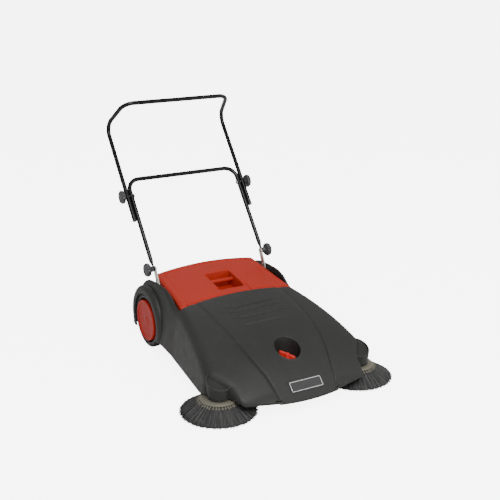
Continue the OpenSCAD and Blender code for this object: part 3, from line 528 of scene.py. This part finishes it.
# steps across the boss: inset from its edge, depth below its rim
bossSteps = [(60, 7), (34, 7), (20, 7), (9, 7), (6.5, 6), (5.4, 4), (5, 1.5), (4.4, 0.4), (3.2, 0), (1.6, 0), (0.5, 0.4), (0, 1.6)]


def bossRadius(z):
    return corner["low"] + (corner["high"] - corner["low"]) * (z - 58) / 90


def bossTop(y):
    return corner["top"] + corner["slope"] * (y - corner["y"])


def cornerBoss(side):
    # a dished top that slopes with the hood, a rim and a wall that narrows downwards; the hood hides its inner half
    angle = np.linspace(0, 2 * pi, 145)[None, :-1]
    radius = bossRadius(corner["top"]) + 0 * angle
    for _ in range(3):
        radius = bossRadius(bossTop(corner["y"] + radius * np.sin(angle)))
    inset, depth = np.array(bossSteps, float).T[:, :, None]
    ringR = np.maximum(radius - inset, 0)
    ringZ = bossTop(corner["y"] + ringR * np.sin(angle)) - depth
    t = np.linspace(0, 1, 14)[1:, None]
    wallZ = ringZ[-1:] + (corner["foot"] - ringZ[-1:]) * t
    r, z = np.concatenate([ringR, bossRadius(wallZ)]), np.concatenate([ringZ, wallZ])
    x, y = corner["x"] + r * np.cos(angle), corner["y"] + r * np.sin(angle)
    return place(side * x, y, z), gridQuads(*z.shape, closeColumns=True)


cheek = {"inner": 229.6, "lip": 22, "foot": 52, "rear": 131}
cheekTopKnots = [(-300, 226), (-240, 228), (-205, 232), (-165, 249), (-125, 261), (-60, 262), (0, 258), (33, 251),
                 (60, 238), (85, 214), (108, 182), (122, 156), (133, 118)]


def cheekShell(side):
    # rows of y; each row climbs the inner lip, turns over the top and runs down the wall; it starts as the hood's own edge
    y = np.concatenate([np.linspace(-242, -170, 16), np.linspace(-165, 40, 34), np.linspace(43, cheek["rear"], 40)])[:, None]
    top = throughKnots(cheekTopKnots, y, 14)
    half = throughKnots([(-240, 241), (0, 243), (140, 243)], y, 6)
    foot = throughKnots([(-240, 270), (-140, 264), (108, 262)], y, 10)
    starts = cheek["inner"] + 3.5 + 0 * y
    hoodHalfRear, turn = 241, hood["shoulder"]
    cut = 1 - sqrt((hoodHalfRear - cheek["inner"] - 3) / turn)
    hoodZ = hoodCrest(np.array(-240.0)) - hood["crown"] * hoodHalfRear**2
    p0 = np.array([hoodHalfRear - turn, hoodZ + hood["crown"] * (hoodHalfRear**2 - (hoodHalfRear - turn) ** 2)])
    p1 = np.array([hoodHalfRear, hoodZ])
    run = np.array([29, 50 - hoodZ])
    p2 = p1 + turn * run / np.linalg.norm(run)
    asHood = [bezier(p0, p1, p2, cut), p1 * (1 - cut) + p2 * cut, p2]
    down = np.concatenate([foot - half, cheek["foot"] - top + 3], axis=1)
    down = down / np.linalg.norm(down, axis=1)[:, None]
    asCheek = [np.concatenate([starts, top - 0.4], axis=1), np.concatenate([half, top - 1.5], axis=1),
               np.concatenate([half, top - 1.5], axis=1) + down * 26]
    k = smoothStep((y + 240) / 80)
    a, b, c = [h * (1 - k) + g * k for h, g in zip(asHood, asCheek)]
    q = np.linspace(0, 1, 14)[None, :, None]
    over = bezier(a[:, None], b[:, None], c[:, None], q)
    end = np.concatenate([foot, cheek["foot"] + 0 * foot], axis=1)
    t = np.linspace(0, 1, 26)[None, 1:, None]
    wall = c[:, None] + (end - c)[:, None] * t
    h = np.array([0, 0.35, 0.7, 0.86, 0.95])[None, :, None]
    lipLow = np.concatenate([cheek["inner"] + 0 * y, a[:, 1:] - cheek["lip"]], axis=1)[:, None]
    lipTop = np.concatenate([cheek["inner"] + 0 * y, a[:, 1:] - 2.2], axis=1)[:, None]
    lip = lipLow + (lipTop - lipLow) * h / 0.95
    line = np.concatenate([lip, over, wall], axis=1)
    quads = gridQuads(*line.shape[:2])
    fromAxle = np.hypot((y + 0 * line[..., 0]).ravel()[quads].mean(1), line[..., 1].ravel()[quads].mean(1) - axleZ)
    return place(side * line[..., 0], y + 0 * line[..., 0], line[..., 1]), quads[fromAxle > arch["outer"] - 7]


arch = {"outer": 133, "cut": 52}


def wheelArch(side):
    # sections through the wheel's axis, from the opening's rolled edge over the flank to the cheek, cut off level at the foot
    profile = np.array([(100.4, 262.5), (100, 264.5), (100.4, 266.4), (101.6, 267.6), (103.5, 268), (109, 268), (115, 267.8),
                        (120, 267), (124.5, 265.2), (128.3, 262.2), (131, 258.2), (132.5, 253), (133, 247), (133, 239),
                        (133, 231)])
    r, x = profile[:, :1], profile[:, 1:]
    below = np.arcsin((axleZ - arch["cut"]) / r)
    t = np.linspace(0, 1, 121)[None]
    angle = -below + t * (pi + 2 * below)
    points = place(side * (x + 0 * angle), r * np.cos(angle), axleZ + r * np.sin(angle))
    return points, gridQuads(*angle.shape)


def wellCup():
    # a rolled rim that follows the hood, a straight wall and a flat floor with the spindle's hole
    radius = np.array([50.5, 50, 49, 47.5, 46.2, 45.3, 44.8, 44.6, 44.5, 44.3, 43.5, 41.5, 38, 25, 12, 7.2])[:, None]
    above = np.array([-1.2, 0.2, 1.0, 1.3, 1.1, 0.4, -0.8, -2.5])[:, None]
    angle = np.linspace(0, 2 * pi, 97)[None, :-1]
    x, y = radius * np.cos(angle), hood["wellY"] + radius * np.sin(angle)
    rimZ = hoodCrest(y[:8]) - hood["crown"] * x[:8] ** 2 + hood["panelRise"] * smoothStep((-y[:8] - 380) / 280) + above
    floorZ = hood["wellFloor"]
    share = np.array([0.5, 0.12, 0.04, 0.01, 0, 0, 0, 0])[:, None]
    lowZ = floorZ + (rimZ[-1:] - floorZ) * share
    z = np.concatenate([rimZ, lowZ])
    return place(x, y, z), gridQuads(*z.shape, closeColumns=True)


hoodPiece = makePiece("hoodPanel", *hoodPanel(), paints["hood_plastic"], "root", "hood_plastic", ["hood"], wall=3.2)
makePiece("knobWell", *wellCup(), paints["hood_plastic"], "root", "hood_plastic", wall=2.0, inward=True)
for side, word in ((-1, "left"), (1, "right")):
    makePiece(word + "Cheek", *cheekShell(side), paints["hood_plastic"], "root", "hood_plastic", wall=3.2)
    makePiece(word + "WheelArch", *wheelArch(side), paints["hood_plastic"], "root", "hood_plastic", wall=3.0)
    makePiece(word + "CornerBoss", *cornerBoss(side), paints["hood_plastic"], "root", "hood_plastic", wall=2.6)
print("hood built")

lid = {
    "front": -237, "rear": 33, "crest": 247, "rise": 38, "half": 226, "taper": 18.5, "crown": 0.00042, "foot": 205,
    "turn": 7, "recessY": -129, "recessHalf": (55, 67), "recessCorner": 14, "recessFloor": 214, "channel": 5.0,
    "border": 27, "borderDepth": 1.9, "step": 6, "stepX": 172, "wall": 2.6,
}


def lidHalf(y):
    return lid["half"] - lid["taper"] * (y - lid["front"]) / 270


def lidTop(x, y):
    # crowned and rising backwards, with a groove round the border, a raised outer band and a channel down the front
    crest = lid["crest"] + lid["rise"] * (y - lid["front"]) / 270
    side, back = lidHalf(y) - np.abs(x), lid["rear"] - y
    inside = -np.log(np.exp(-0.12 * side) + np.exp(-0.12 * back)) / 0.12
    groove = -lid["borderDepth"] * np.exp(-((inside - lid["border"]) / 1.4) ** 2)
    band = 1.4 * smoothStep((lid["border"] - 3 - inside) / 5) - 1.4
    channel = smoothStep((66 - np.abs(x)) / 7) * smoothStep((-176 - y) / 10)
    return crest - lid["crown"] * x**2 + groove + band - lid["channel"] * channel


def openRecess(x, y):
    # beyond the corner squares' inner corners, square rings become quarter circles
    halfX, halfY = lid["recessHalf"]
    round_ = lid["recessCorner"]
    cornerX, cornerY = np.abs(x) - (halfX - round_), np.abs(y) - (halfY - round_)
    inCorner = (cornerX > 0) & (cornerY > 0)
    square = np.maximum(cornerX, cornerY)
    away = np.maximum(np.hypot(cornerX, cornerY), 1e-6)
    keep = smoothStep((square - round_) / 24)
    factor = np.where(inCorner, square / away * (1 - keep) + keep, 1)
    newX = np.where(inCorner, np.sign(x) * (halfX - round_ + cornerX * factor), x)
    newY = np.where(inCorner, np.sign(y) * (halfY - round_ + cornerY * factor), y)
    return newX, newY


def lidShell():
    # the top is a grid with a rounded hole; loops then run over its rim, down the skirt and down into the recess
    halfX, halfY = lid["recessHalf"]
    round_, turn = lid["recessCorner"], lid["turn"]
    near = np.array([turn, 9, 12, 16, 20, 23, 24.8, 26, 27, 28, 29.2, 31, 35, 40])
    holeX = np.concatenate([np.linspace(0, halfX - round_, 9), np.linspace(halfX - round_, halfX, 8)[1:],
                            np.array([57.5, 60, 62, 64, 66, 68, 71, 75, 80])])
    holeY = np.concatenate([np.linspace(0, halfY - round_, 9), np.linspace(halfY - round_, halfY, 8)[1:],
                            np.array([69, 71, 73.5, 76, 80])])
    rearRows = lid["rear"] - near[::-1]
    frontRows = np.array([lid["front"] + turn, -228, -225, -221, -217, -213])
    between = np.linspace(lid["recessY"] + 80, rearRows[0], 8)[1:-1]
    y = np.concatenate([frontRows, lid["recessY"] - holeY[::-1], lid["recessY"] + holeY[1:], between, rearRows])[:, None]
    half = lidHalf(y)
    between = 80 + (half - near[-1] - 80) * np.linspace(0, 1, 12)[None, 1:-1]
    x = np.concatenate([holeX[None] + 0 * y, between, half - near[None, ::-1]], axis=1)
    x = np.concatenate([-x[:, :0:-1], x], axis=1)
    yy = y + 0 * x
    x, yy = openRecess(x, yy - lid["recessY"])
    yy = yy + lid["recessY"]
    yy = yy + lid["step"] * smoothStep((lid["stepX"] - np.abs(x)) / 4) * smoothStep((-205 - yy) / 18)
    z = lidTop(x, yy)
    rows, columns = x.shape
    quads = gridQuads(rows, columns)
    centreX, centreY = x.ravel()[quads].mean(1), yy.ravel()[quads].mean(1) - lid["recessY"]
    hole = (np.abs(centreX) < halfX - 0.2) & (np.abs(centreY) < halfY - 0.2)
    cornerX, cornerY = np.abs(centreX) - (halfX - round_), np.abs(centreY) - (halfY - round_)
    hole &= ~((cornerX > 0) & (cornerY > 0) & (np.hypot(cornerX, cornerY) > round_ + 0.1))
    index = np.arange(rows * columns).reshape(rows, columns)
    rim = np.concatenate([index[0, :-1], index[:-1, -1], index[-1, :0:-1], index[:0:-1, 0]])
    top = np.stack([x, yy, z], axis=-1).reshape(-1, 3)
    edge = top[rim]
    along = np.roll(edge, -1, axis=0) - np.roll(edge, 1, axis=0)
    outward = np.stack([along[:, 1], -along[:, 0]], axis=1)
    outward /= np.linalg.norm(outward, axis=1)[:, None]
    phi = np.linspace(0, pi / 2, 7)[1:]
    loops = [edge]
    for p in phi:
        loops.append(np.column_stack([edge[:, :2] + outward * turn * sin(p), edge[:, 2] - turn * (1 - cos(p))]))
    skirtTop = loops[-1]
    for share in (0.05, 0.3, 0.6, 0.92, 1):
        loops.append(np.column_stack([skirtTop[:, :2], skirtTop[:, 2] + (lid["foot"] - skirtTop[:, 2]) * share]))
    skirt = (np.stack(loops).reshape(-1, 3), gridQuads(len(loops), len(rim), closeColumns=True).tolist())
    firstRow, lastRow = [int(np.argmin(np.abs(y[:, 0] - v))) for v in (lid["recessY"] - halfY, lid["recessY"] + halfY)]
    middle = (columns - 1) // 2
    reach = len(np.linspace(0, halfX - round_, 9)) + 7 - 1
    left, right = middle - reach, middle + reach
    mouth = np.concatenate([index[firstRow, left:right], index[firstRow:lastRow, right],
                            index[lastRow, right:left:-1], index[lastRow:firstRow:-1, left]])
    edge = top[mouth]
    along = np.roll(edge, -1, axis=0) - np.roll(edge, 1, axis=0)
    inward = np.stack([-along[:, 1], along[:, 0]], axis=1)
    inward /= np.linalg.norm(inward, axis=1)[:, None]
    floorZ, small = lid["recessFloor"], 2.2
    loops = [edge]
    for p in np.linspace(0, pi / 2, 5)[1:]:
        loops.append(np.column_stack([edge[:, :2] + inward * small * sin(p), edge[:, 2] - small * (1 - cos(p))]))
    wallTop = loops[-1]
    for share in (0.3, 0.65, 0.9):
        loops.append(np.column_stack([wallTop[:, :2] + inward * 2 * share, wallTop[:, 2] + (floorZ + 4 - wallTop[:, 2]) * share]))
    for p in np.linspace(0, pi / 2, 5):
        loops.append(np.column_stack([wallTop[:, :2] + inward * (2 + 4 * (1 - cos(p))), floorZ + 4 * (1 - sin(p)) + 0 * wallTop[:, 2]]))
    bowlFaces = gridQuads(len(loops), len(mouth), closeColumns=True).tolist()
    start = (len(loops) - 1) * len(mouth)
    bowlFaces.append(list(range(start, start + len(mouth))))
    bowl = (np.stack(loops).reshape(-1, 3), bowlFaces)
    points, faces = joinParts((top, quads[~hole].tolist()), skirt, bowl)
    return place(points[:, 0], points[:, 1], points[:, 2]), faces


def inPlace(parts):
    points, faces = joinParts(*parts)
    return place(points[:, 0], points[:, 1], points[:, 2]), faces


makePiece("hopperLid", *lidShell(), paints["hopper_red"], "hopper", "hopper_red", ["hopper_lid"], wall=lid["wall"])
bar = {"y": -100, "z": 246, "r": 8, "reach": 54.5}
barLine, _ = denser(np.array([(-bar["reach"], bar["y"], bar["z"]), (bar["reach"], bar["y"], bar["z"])], float), 6)
barSwell = bar["r"] * (1 + 0.12 * (np.abs(barLine[:, 0]) / bar["reach"]) ** 8 - 0.06)
makePiece("gripBar", *sweep(barLine, (0, 0, 1), barSwell, barSwell), paints["hopper_red"], "hopper", "hopper_red",
          ["hopper_grip_bar"])
print("hopper lid built")

badge = {"y": -702, "tilt": 44.6, "size": (124, 40), "inset": 3.2, "line": 1.5, "corner": 3}


def badgeOutline():
    # a thin raised rectangle with rounded corners, run round just inside the plate's edge
    halfX, halfY, round_ = badge["size"][0] / 2 - badge["inset"], badge["size"][1] / 2 - badge["inset"], badge["corner"]
    a = np.linspace(0, pi / 2, 6)
    turns = [(1, 1, 0), (-1, 1, pi / 2), (-1, -1, pi), (1, -1, 3 * pi / 2)]
    line = np.concatenate([np.stack([sx * (halfX - round_) + round_ * np.cos(a + t),
                                     sy * (halfY - round_) + round_ * np.sin(a + t)], axis=1) for sx, sy, t in turns])
    along = np.roll(line, -1, axis=0) - np.roll(line, 1, axis=0)
    out = np.stack([along[:, 1], -along[:, 0]], axis=1) / np.linalg.norm(along, axis=1)[:, None]
    section = [(0, 1.3), (0, 1.75), (0.25, 2.0), (badge["line"] - 0.25, 2.0), (badge["line"], 1.75), (badge["line"], 1.3)]
    loops = np.stack([np.column_stack([line - out * w, np.full(len(line), h)]) for w, h in section])
    tilt = radians(badge["tilt"])
    u, v = loops[..., 1] * cos(tilt) - loops[..., 2] * sin(tilt), loops[..., 1] * sin(tilt) + loops[..., 2] * cos(tilt)
    base = hoodCrest(np.array(float(badge["y"]))) + 0.2
    return place(loops[..., 0], badge["y"] + u, base + v), gridQuads(len(section), len(line), closeRows=True, closeColumns=True)


makePiece("badgeOutline", *badgeOutline(), outlineWhite, "root", "badge", sharp=30)

wheel = {"r": 104, "bead": 92, "inner": 231, "outer": 262, "lugs": 44, "lugDepth": 1.7, "capR": 78, "capFace": 268}


def tyreBody(side):
    # the tyre's section turned about the axle, with lugs cut into both shoulders
    section = np.array([(92, 233), (92, 231.6), (93.5, 231), (97, 231.2), (100, 232), (102.2, 233.6), (103.5, 236),
                        (104, 238.5), (104, 240.5), (104, 242.5), (103.2, 243.3), (103.2, 244.7), (104, 245.5), (104, 247.5),
                        (103.2, 248.3), (103.2, 249.7), (104, 250.5), (104, 252.5), (104, 254.5), (103.5, 257),
                        (102.2, 259.4), (100, 261), (97, 261.8), (93.5, 262), (92, 261.4), (92, 260)])
    angle = np.linspace(0, 2 * pi, wheel["lugs"] * 10 + 1)[None, :-1]
    radius, across = section[:, :1], section[:, 1:]
    skew = (across - 246.5) * 0.004
    wave = np.cos(wheel["lugs"] * (angle + skew * np.sign(across - 246.5)))
    shoulder = smoothStep((np.abs(across - 246.5) - 3) / 2) * smoothStep((radius - 98) / 3)
    radius = radius - wheel["lugDepth"] * smoothStep((wave - 0.35) / 0.4) * shoulder
    x = side * (across + 0 * angle)
    return (place(x, radius * np.cos(angle), axleZ + radius * np.sin(angle)),
            gridQuads(*radius.shape, closeRows=True, closeColumns=True))


capSection = [(0.001, 264.3), (6, 264.3), (10, 264.2), (12, 263.6), (14, 262.6), (22, 262.3), (40, 262.6), (56, 263.4),
              (64, 264.4), (67, 265.6), (69, 266.9), (71, 267.6), (73.5, 267.9), (75.5, 267.6), (77, 266.6), (77.8, 265),
              (78, 262), (78, 250), (77.8, 245.6), (75.4, 245.3), (75, 246), (74.6, 256), (73, 261), (64, 261.6),
              (40, 260), (0.001, 259.6)]
for side, word in ((-1, "left"), (1, "right")):
    body = word + "_wheel"
    points, quads = tyreBody(side)
    makePiece(word + "Tyre", points, quads, paints["tyre_rubber"], body, "tyre_rubber", [word + "_tyre"], sharp=28)
    points, quads = lathe(capSection, (0, 0, axleZ), "x", 128)
    points[:, 0] *= side
    makePiece(word + "HubCap", points, quads, paints["cap_red"], body, "cap_red", [word + "_hub_cap"], sharp=50)
print("wheels built")

sideBrush = {"x": 269, "y": -600, "tufts": 42, "perTuft": 34, "roots": (50, 63), "reach": 130.5, "rootZ": 46.5, "tipZ": 4.6}


def strands(start, middle, end, radius, sides=3, rings=5):
    # each strand is a three-sided rod along its own parabola, tapering a little to the tip
    t = np.linspace(0, 1, rings)[None, :, None]
    line = start[:, None] * (1 - t) ** 2 + middle[:, None] * 2 * t * (1 - t) + end[:, None] * t**2
    run = end - start
    run /= np.linalg.norm(run, axis=1)[:, None]
    across = np.cross(run, np.array([0.0, 0.0, 1.0]) + 0.01)
    across /= np.linalg.norm(across, axis=1)[:, None]
    other = np.cross(run, across)
    angle = np.arange(sides) * 2 * pi / sides
    ring = np.cos(angle)[None, :, None] * across[:, None] + np.sin(angle)[None, :, None] * other[:, None]
    taper = (1 - 0.35 * t)[..., None]
    points = line[:, :, None] + ring[:, None] * radius * taper
    count = len(start)
    one = np.concatenate([gridQuads(rings, sides, closeColumns=True)])
    block = rings * sides
    quads = (one[None] + block * np.arange(count)[:, None, None]).reshape(-1, 4)
    first = np.arange(count)[:, None] * block
    ends = np.concatenate([first + np.arange(sides)[::-1], first + block - sides + np.arange(sides)])
    return points.reshape(-1, 3), quads.tolist() + ends.tolist(), np.repeat(np.arange(count), block)


def strandPiece(name, sets, paint, body, replaced=(), seed=3):
    draw = np.random.default_rng(seed)
    points, faces = joinParts(*[(p, np.array(f, dtype=object)) for p, f, _ in sets])
    shade = np.concatenate([draw.random(owner.max() + 1)[owner] for _, _, owner in sets])
    points = place(points[:, 0], points[:, 1], points[:, 2])
    mesh = bpy.data.meshes.new(name)
    mesh.from_pydata(points.tolist(), [], [list(f) for f in faces])
    mesh.attributes.new("strand", "FLOAT", "POINT").data.foreach_set("value", shade.astype(np.float32))
    piece = bpy.data.objects.new(name, mesh)
    bpy.context.scene.collection.objects.link(piece)
    mesh.shade_smooth()
    mesh.materials.append(paint)
    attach(piece, body)
    if replaced:
        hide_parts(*replaced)
    return piece


def sideBristles(side, seed, perTuft, rootR, endR, rootZ, endZ, spreadAngle, radius):
    # tufts evenly round the hub; in each, strands fan out and droop to the floor
    draw = np.random.default_rng(seed)
    tufts = sideBrush["tufts"]
    tuft = np.repeat(np.arange(tufts), perTuft)
    count = len(tuft)
    home = (tuft + 0.5) * 2 * pi / tufts
    across = draw.uniform(-1, 1, count)
    start = home + across * 0.3 * pi / tufts
    lean = home + (across * spreadAngle + draw.normal(0, 0.12, count)) * pi / tufts + draw.normal(0, 0.012, tufts)[tuft]
    depth = draw.uniform(0, 1, count)
    r0 = rootR[0] + (rootR[1] - rootR[0]) * depth
    r1 = endR - np.abs(draw.normal(0, 1.6, count)) - 2 * np.abs(across)
    z0 = rootZ - 1.6 * depth + draw.uniform(-0.5, 0.5, count)
    z1 = endZ + 2.4 * draw.uniform(0, 1, count) * (1 - depth)
    x, y = side * sideBrush["x"], sideBrush["y"]
    first = np.column_stack([x + r0 * np.cos(start), y + r0 * np.sin(start), z0])
    last = np.column_stack([x + r1 * np.cos(lean), y + r1 * np.sin(lean), z1])
    mid = (first + last) / 2
    mid[:, 2] += 2.5 + draw.uniform(-0.8, 0.8, count)
    return strands(first, mid, last, radius)


under = [(57, 45.5), (62, 43), (75, 35.5), (95, 22.5), (112, 12.5), (124, 6.4), (124.5, 5), (121, 4.2), (100, 13), (75, 26), (57, 38)]
hubSection = [(6.3, 50), (16, 50), (16, 60), (15, 61), (6.3, 61), (6.3, 61.4), (15.2, 61.4), (16.6, 60.2), (17, 51.5),
              (30, 51), (36, 53.3), (40, 54), (54, 54), (57, 53.6), (60, 52.2), (61.8, 50), (62, 48.4), (61, 46.6), (57, 45.4),
              (46, 44.6), (6.3, 44.6)]
for side, word in ((-1, "left"), (1, "right")):
    body = word + "_brush"
    fans = sideBristles(side, 11 + side, sideBrush["perTuft"], sideBrush["roots"], sideBrush["reach"], sideBrush["rootZ"],
                        sideBrush["tipZ"], 0.8, 0.55)
    strandPiece(word + "BrushBristles", [fans], paints["bristle"], body, [word + "_brush_bristles"], 5 + side)
    roots = sideBristles(side, 31 + side, 12, (56, 61), 73, 47, 40, 0.55, 1.0)
    strandPiece(word + "BrushRoots", [roots], paints["brush_beige"], body, (), 9 + side)
    points, quads = lathe(under, (side * sideBrush["x"], sideBrush["y"], 0), "z", 96)
    makePiece(word + "BrushUnderlay", points, gridQuads(len(under), 96, closeRows=True, closeColumns=True),
              paints["bristle"], body, "bristle")
    points, quads = lathe(hubSection[4:], (side * sideBrush["x"], sideBrush["y"], 0), "z", 96)
    makePiece(word + "BrushHub", points, gridQuads(len(hubSection) - 4, 96, closeRows=True, closeColumns=True),
              paints["brush_beige"], body, "brush_beige", [word + "_brush_hub"], sharp=35)

roller = {"y": -300, "z": 92, "core": 27.5, "r": 89.6, "rows": 8, "perRow": 130, "half": 200}


def rollerBristles():
    # eight rows of strands that wave gently along the roller
    draw = np.random.default_rng(21)
    row = np.repeat(np.arange(roller["rows"]), roller["perRow"] * 3)
    count = len(row)
    x = draw.uniform(-roller["half"], roller["half"], count)
    angle = (row + 0.5) * 2 * pi / roller["rows"] + draw.normal(0, 0.02, count)
    lean = angle + draw.normal(0, 0.022, count)
    r1 = roller["r"] - np.abs(draw.normal(0, 0.8, count))
    first = np.column_stack([x, roller["y"] + roller["core"] * np.cos(angle), roller["z"] + roller["core"] * np.sin(angle)])
    last = np.column_stack([x + draw.normal(0, 2, count), roller["y"] + r1 * np.cos(lean), roller["z"] + r1 * np.sin(lean)])
    return strands(first, (first + last) / 2 + draw.normal(0, 0.6, (count, 3)), last, 0.5, rings=3)


strandPiece("rollerBristles", [rollerBristles()], paints["bristle"], "roller", ["roller_bristles"])
print("brushes built")

handle = {"pivotY": -10, "pivotZ": 304, "lean": 38.5, "tube": 8, "bend": 45, "lowX": 230, "lowTop": 366, "upX": 246.6,
          "upStart": 200, "upBend": (366.0, 776.7), "grip": (216.6, 247.9, 875.8), "tab": (9, 2.25), "clamp": 300}
rise, run = cos(radians(handle["lean"])), sin(radians(handle["lean"]))


def onLeg(x, d):
    return (x, handle["pivotY"] + run * d, handle["pivotZ"] + rise * d)


def lowerTube():
    # legs and crossbar in one bend, both ends pressed flat round the pivot bolt
    x, top = handle["lowX"], handle["lowTop"]
    path = roundPath([onLeg(-x, -8), onLeg(-x, top), onLeg(x, top), onLeg(x, -8)], handle["bend"])
    path, along = denser(path, 8)
    end = np.minimum(along, along[-1] - along)
    k = smoothStep((end - 22) / 22)
    wide = handle["tab"][0] + (handle["tube"] - handle["tab"][0]) * k
    wide = wide * np.sqrt(np.clip(1 - np.clip(1 - end / 9, 0, 1) ** 2, 0.15, 1))
    deep = handle["tab"][1] + (handle["tube"] - handle["tab"][1]) * k
    shift = np.where(path[:, 0] < 0, 1, -1) * 0.85 * (1 - k)
    path[:, 0] += shift
    return sweep(path, (0, -rise, run), wide, deep)


def upperTube():
    x, (bendY, bendZ), (gripX, gripY, gripZ) = handle["upX"], handle["upBend"], handle["grip"]
    path = roundPath([onLeg(-x, handle["upStart"]), (-x, bendY, bendZ), (-gripX, gripY, gripZ), (gripX, gripY, gripZ),
                      (x, bendY, bendZ), onLeg(x, handle["upStart"])], handle["bend"], 4)
    path, along = denser(path, 8)
    round_ = np.full(len(path), float(handle["tube"]))
    return sweep(path, (0, -rise, run), round_, round_)


def endCaps():
    # a plug in each open tube end, domed at the tip
    parts = []
    for x in (-handle["upX"], handle["upX"]):
        line = np.array([onLeg(x, d) for d in (195.6, 195.9, 196.4, 197.4, 199, 200.3, 200.5, 206)])
        size = np.array([2.5, 5, 6.8, 8, 8.4, 8.4, 6.4, 6.4])
        points, faces = sweep(line, (0, -rise, run), size, size)
        parts.append((points, faces))
    return joinParts(*parts)


makePiece("lowerHandleTube", *lowerTube(), paints["tube_black"], "lower_frame", "tube_black", ["lower_handle"], sharp=60)
makePiece("upperHandleTube", *upperTube(), paints["tube_black"], "upper_frame", "tube_black", ["upper_handle"], sharp=60)
makePiece("tubeEndPlugs", *endCaps(), paints["plug_black"], "upper_frame", "plug_black", ["tube_end_caps"])

clampKnob = {"lobes": 10, "lobeDepth": 0.055, "r": 25}
knobSteps = [(0, 0.001, 0), (0, 8, 0), (0.4, 9.6, 0), (1.6, 10.4, 0), (6, 10.8, 0), (8.5, 12.5, 0), (11.6, 17, 0.2), (13.2, 20, 0.6),
             (14.0, 22.6, 0.9), (15.2, 24.2, 1), (17.5, 25, 1), (22, 25.2, 1), (27, 25, 1), (29.4, 24.2, 1),
             (31, 22.6, 0.9), (31.7, 20, 0.6), (31.9, 17, 0.2), (31.6, 15.5, 0), (30.6, 14.4, 0), (30.4, 10, 0), (30.6, 4, 0),
             (30.6, 0.001, 0)]


def knobBody(side, d, hubX, discX, endX):
    # radius by distance along the bolt, scalloped where the rim is
    steps = np.array(knobSteps, float)
    s = np.interp(steps[:, 0], [0, 13.2, 31.9], [hubX, discX, endX])[:, None]
    angle = np.linspace(0, 2 * pi, 121)[None, :-1]
    scallop = np.abs(np.cos(clampKnob["lobes"] * angle / 2)) ** 1.5
    r = steps[:, 1:2] * (1 - clampKnob["lobeDepth"] * steps[:, 2:] * (1 - scallop) * 1.6)
    _, y, z = onLeg(0, d)
    return place(side * (s + 0 * angle), y + r * np.cos(angle), z + r * np.sin(angle)), gridQuads(*r.shape, closeColumns=True)


for side, word in ((-1, "left"), (1, "right")):
    points, quads = knobBody(side, 0, 231.9, 246, 263.9)
    makePiece(word + "LowerKnob", points, quads, paints["knob_grey"], f"lower_{word}_clamp", "knob_grey",
              [word + "_lower_knob"])
    points, quads = knobBody(side, handle["clamp"], 255.1, 260, 275.9)
    makePiece(word + "UpperKnob", points, quads, paints["knob_grey"], f"upper_{word}_clamp", "knob_grey",
              [word + "_upper_knob"])
print("handles built")

wing = {"y": -582, "foot": 112.6, "top": 147.8, "disc": 31.8, "half": 28.6, "waist": 4.6, "ends": 6.6, "turn": -50, "fall": 0.36}


def wingKnob():
    # a bevelled disc and hub, and a bar across them, waisted in the middle and rounded at both ends
    foot, top = wing["foot"], wing["top"]
    profile = np.array([(4.4, foot), (30.6, foot), (31.6, foot + 0.8), (wing["disc"], foot + 2), (wing["disc"], foot + 6),
                        (31.2, foot + 7.6), (29.5, foot + 8.6), (27, foot + 9), (14, foot + 9), (11.5, foot + 9.8),
                        (10, foot + 12), (8.5, foot + 20), (6.5, top - 8), (4.4, top - 8)])
    angle = np.arange(96) * 2 * pi / 96
    x, y = profile[:, :1] * np.cos(angle), wing["y"] + profile[:, :1] * np.sin(angle)
    disc = np.stack([x, y, profile[:, 1:] + 0 * x], axis=-1).reshape(-1, 3)
    discFaces = gridQuads(len(profile), 96, closeRows=True, closeColumns=True).tolist()
    u = np.linspace(-pi / 2 + 0.02, pi / 2 - 0.02, 48)[:, None]
    v = np.arange(48)[None] * 2 * pi / 48
    along = wing["half"] * np.sin(u) / np.maximum(np.abs(np.sin(u)), 1e-6) * np.abs(np.sin(u)) ** 0.55
    round_ = np.cos(u) ** 0.35
    share = np.abs(along) / wing["half"]
    wide = (wing["waist"] + (wing["ends"] - wing["waist"]) * smoothStep((share - 0.25) / 0.5)) * round_
    across = wide * np.sign(np.cos(v)) * np.abs(np.cos(v)) ** 0.6
    c, s = cos(radians(wing["turn"])), sin(radians(wing["turn"]))
    # the bar's back falls towards its front end, as the hood does
    back = top - wing["fall"] * (wing["half"] * abs(s) - along * s)
    middle, high = (back + foot + 6) / 2, (back - foot - 6) / 2
    level = middle + high * (0.35 + 0.65 * round_) * np.sign(np.sin(v)) * np.abs(np.sin(v)) ** 0.6
    bar = np.stack([along * c - across * s, wing["y"] + along * s + across * c, level], axis=-1).reshape(-1, 3)
    barFaces = gridQuads(48, 48, closeColumns=True).tolist()
    barFaces += [list(range(48))[::-1], list(range(47 * 48, 48 * 48))]
    return inPlace([(disc, discFaces), (bar, barFaces)])


makePiece("heightWingKnob", *wingKnob(), paints["knob_red"], "height_adjuster", "knob_red", ["height_knob"])
print("height knob built")
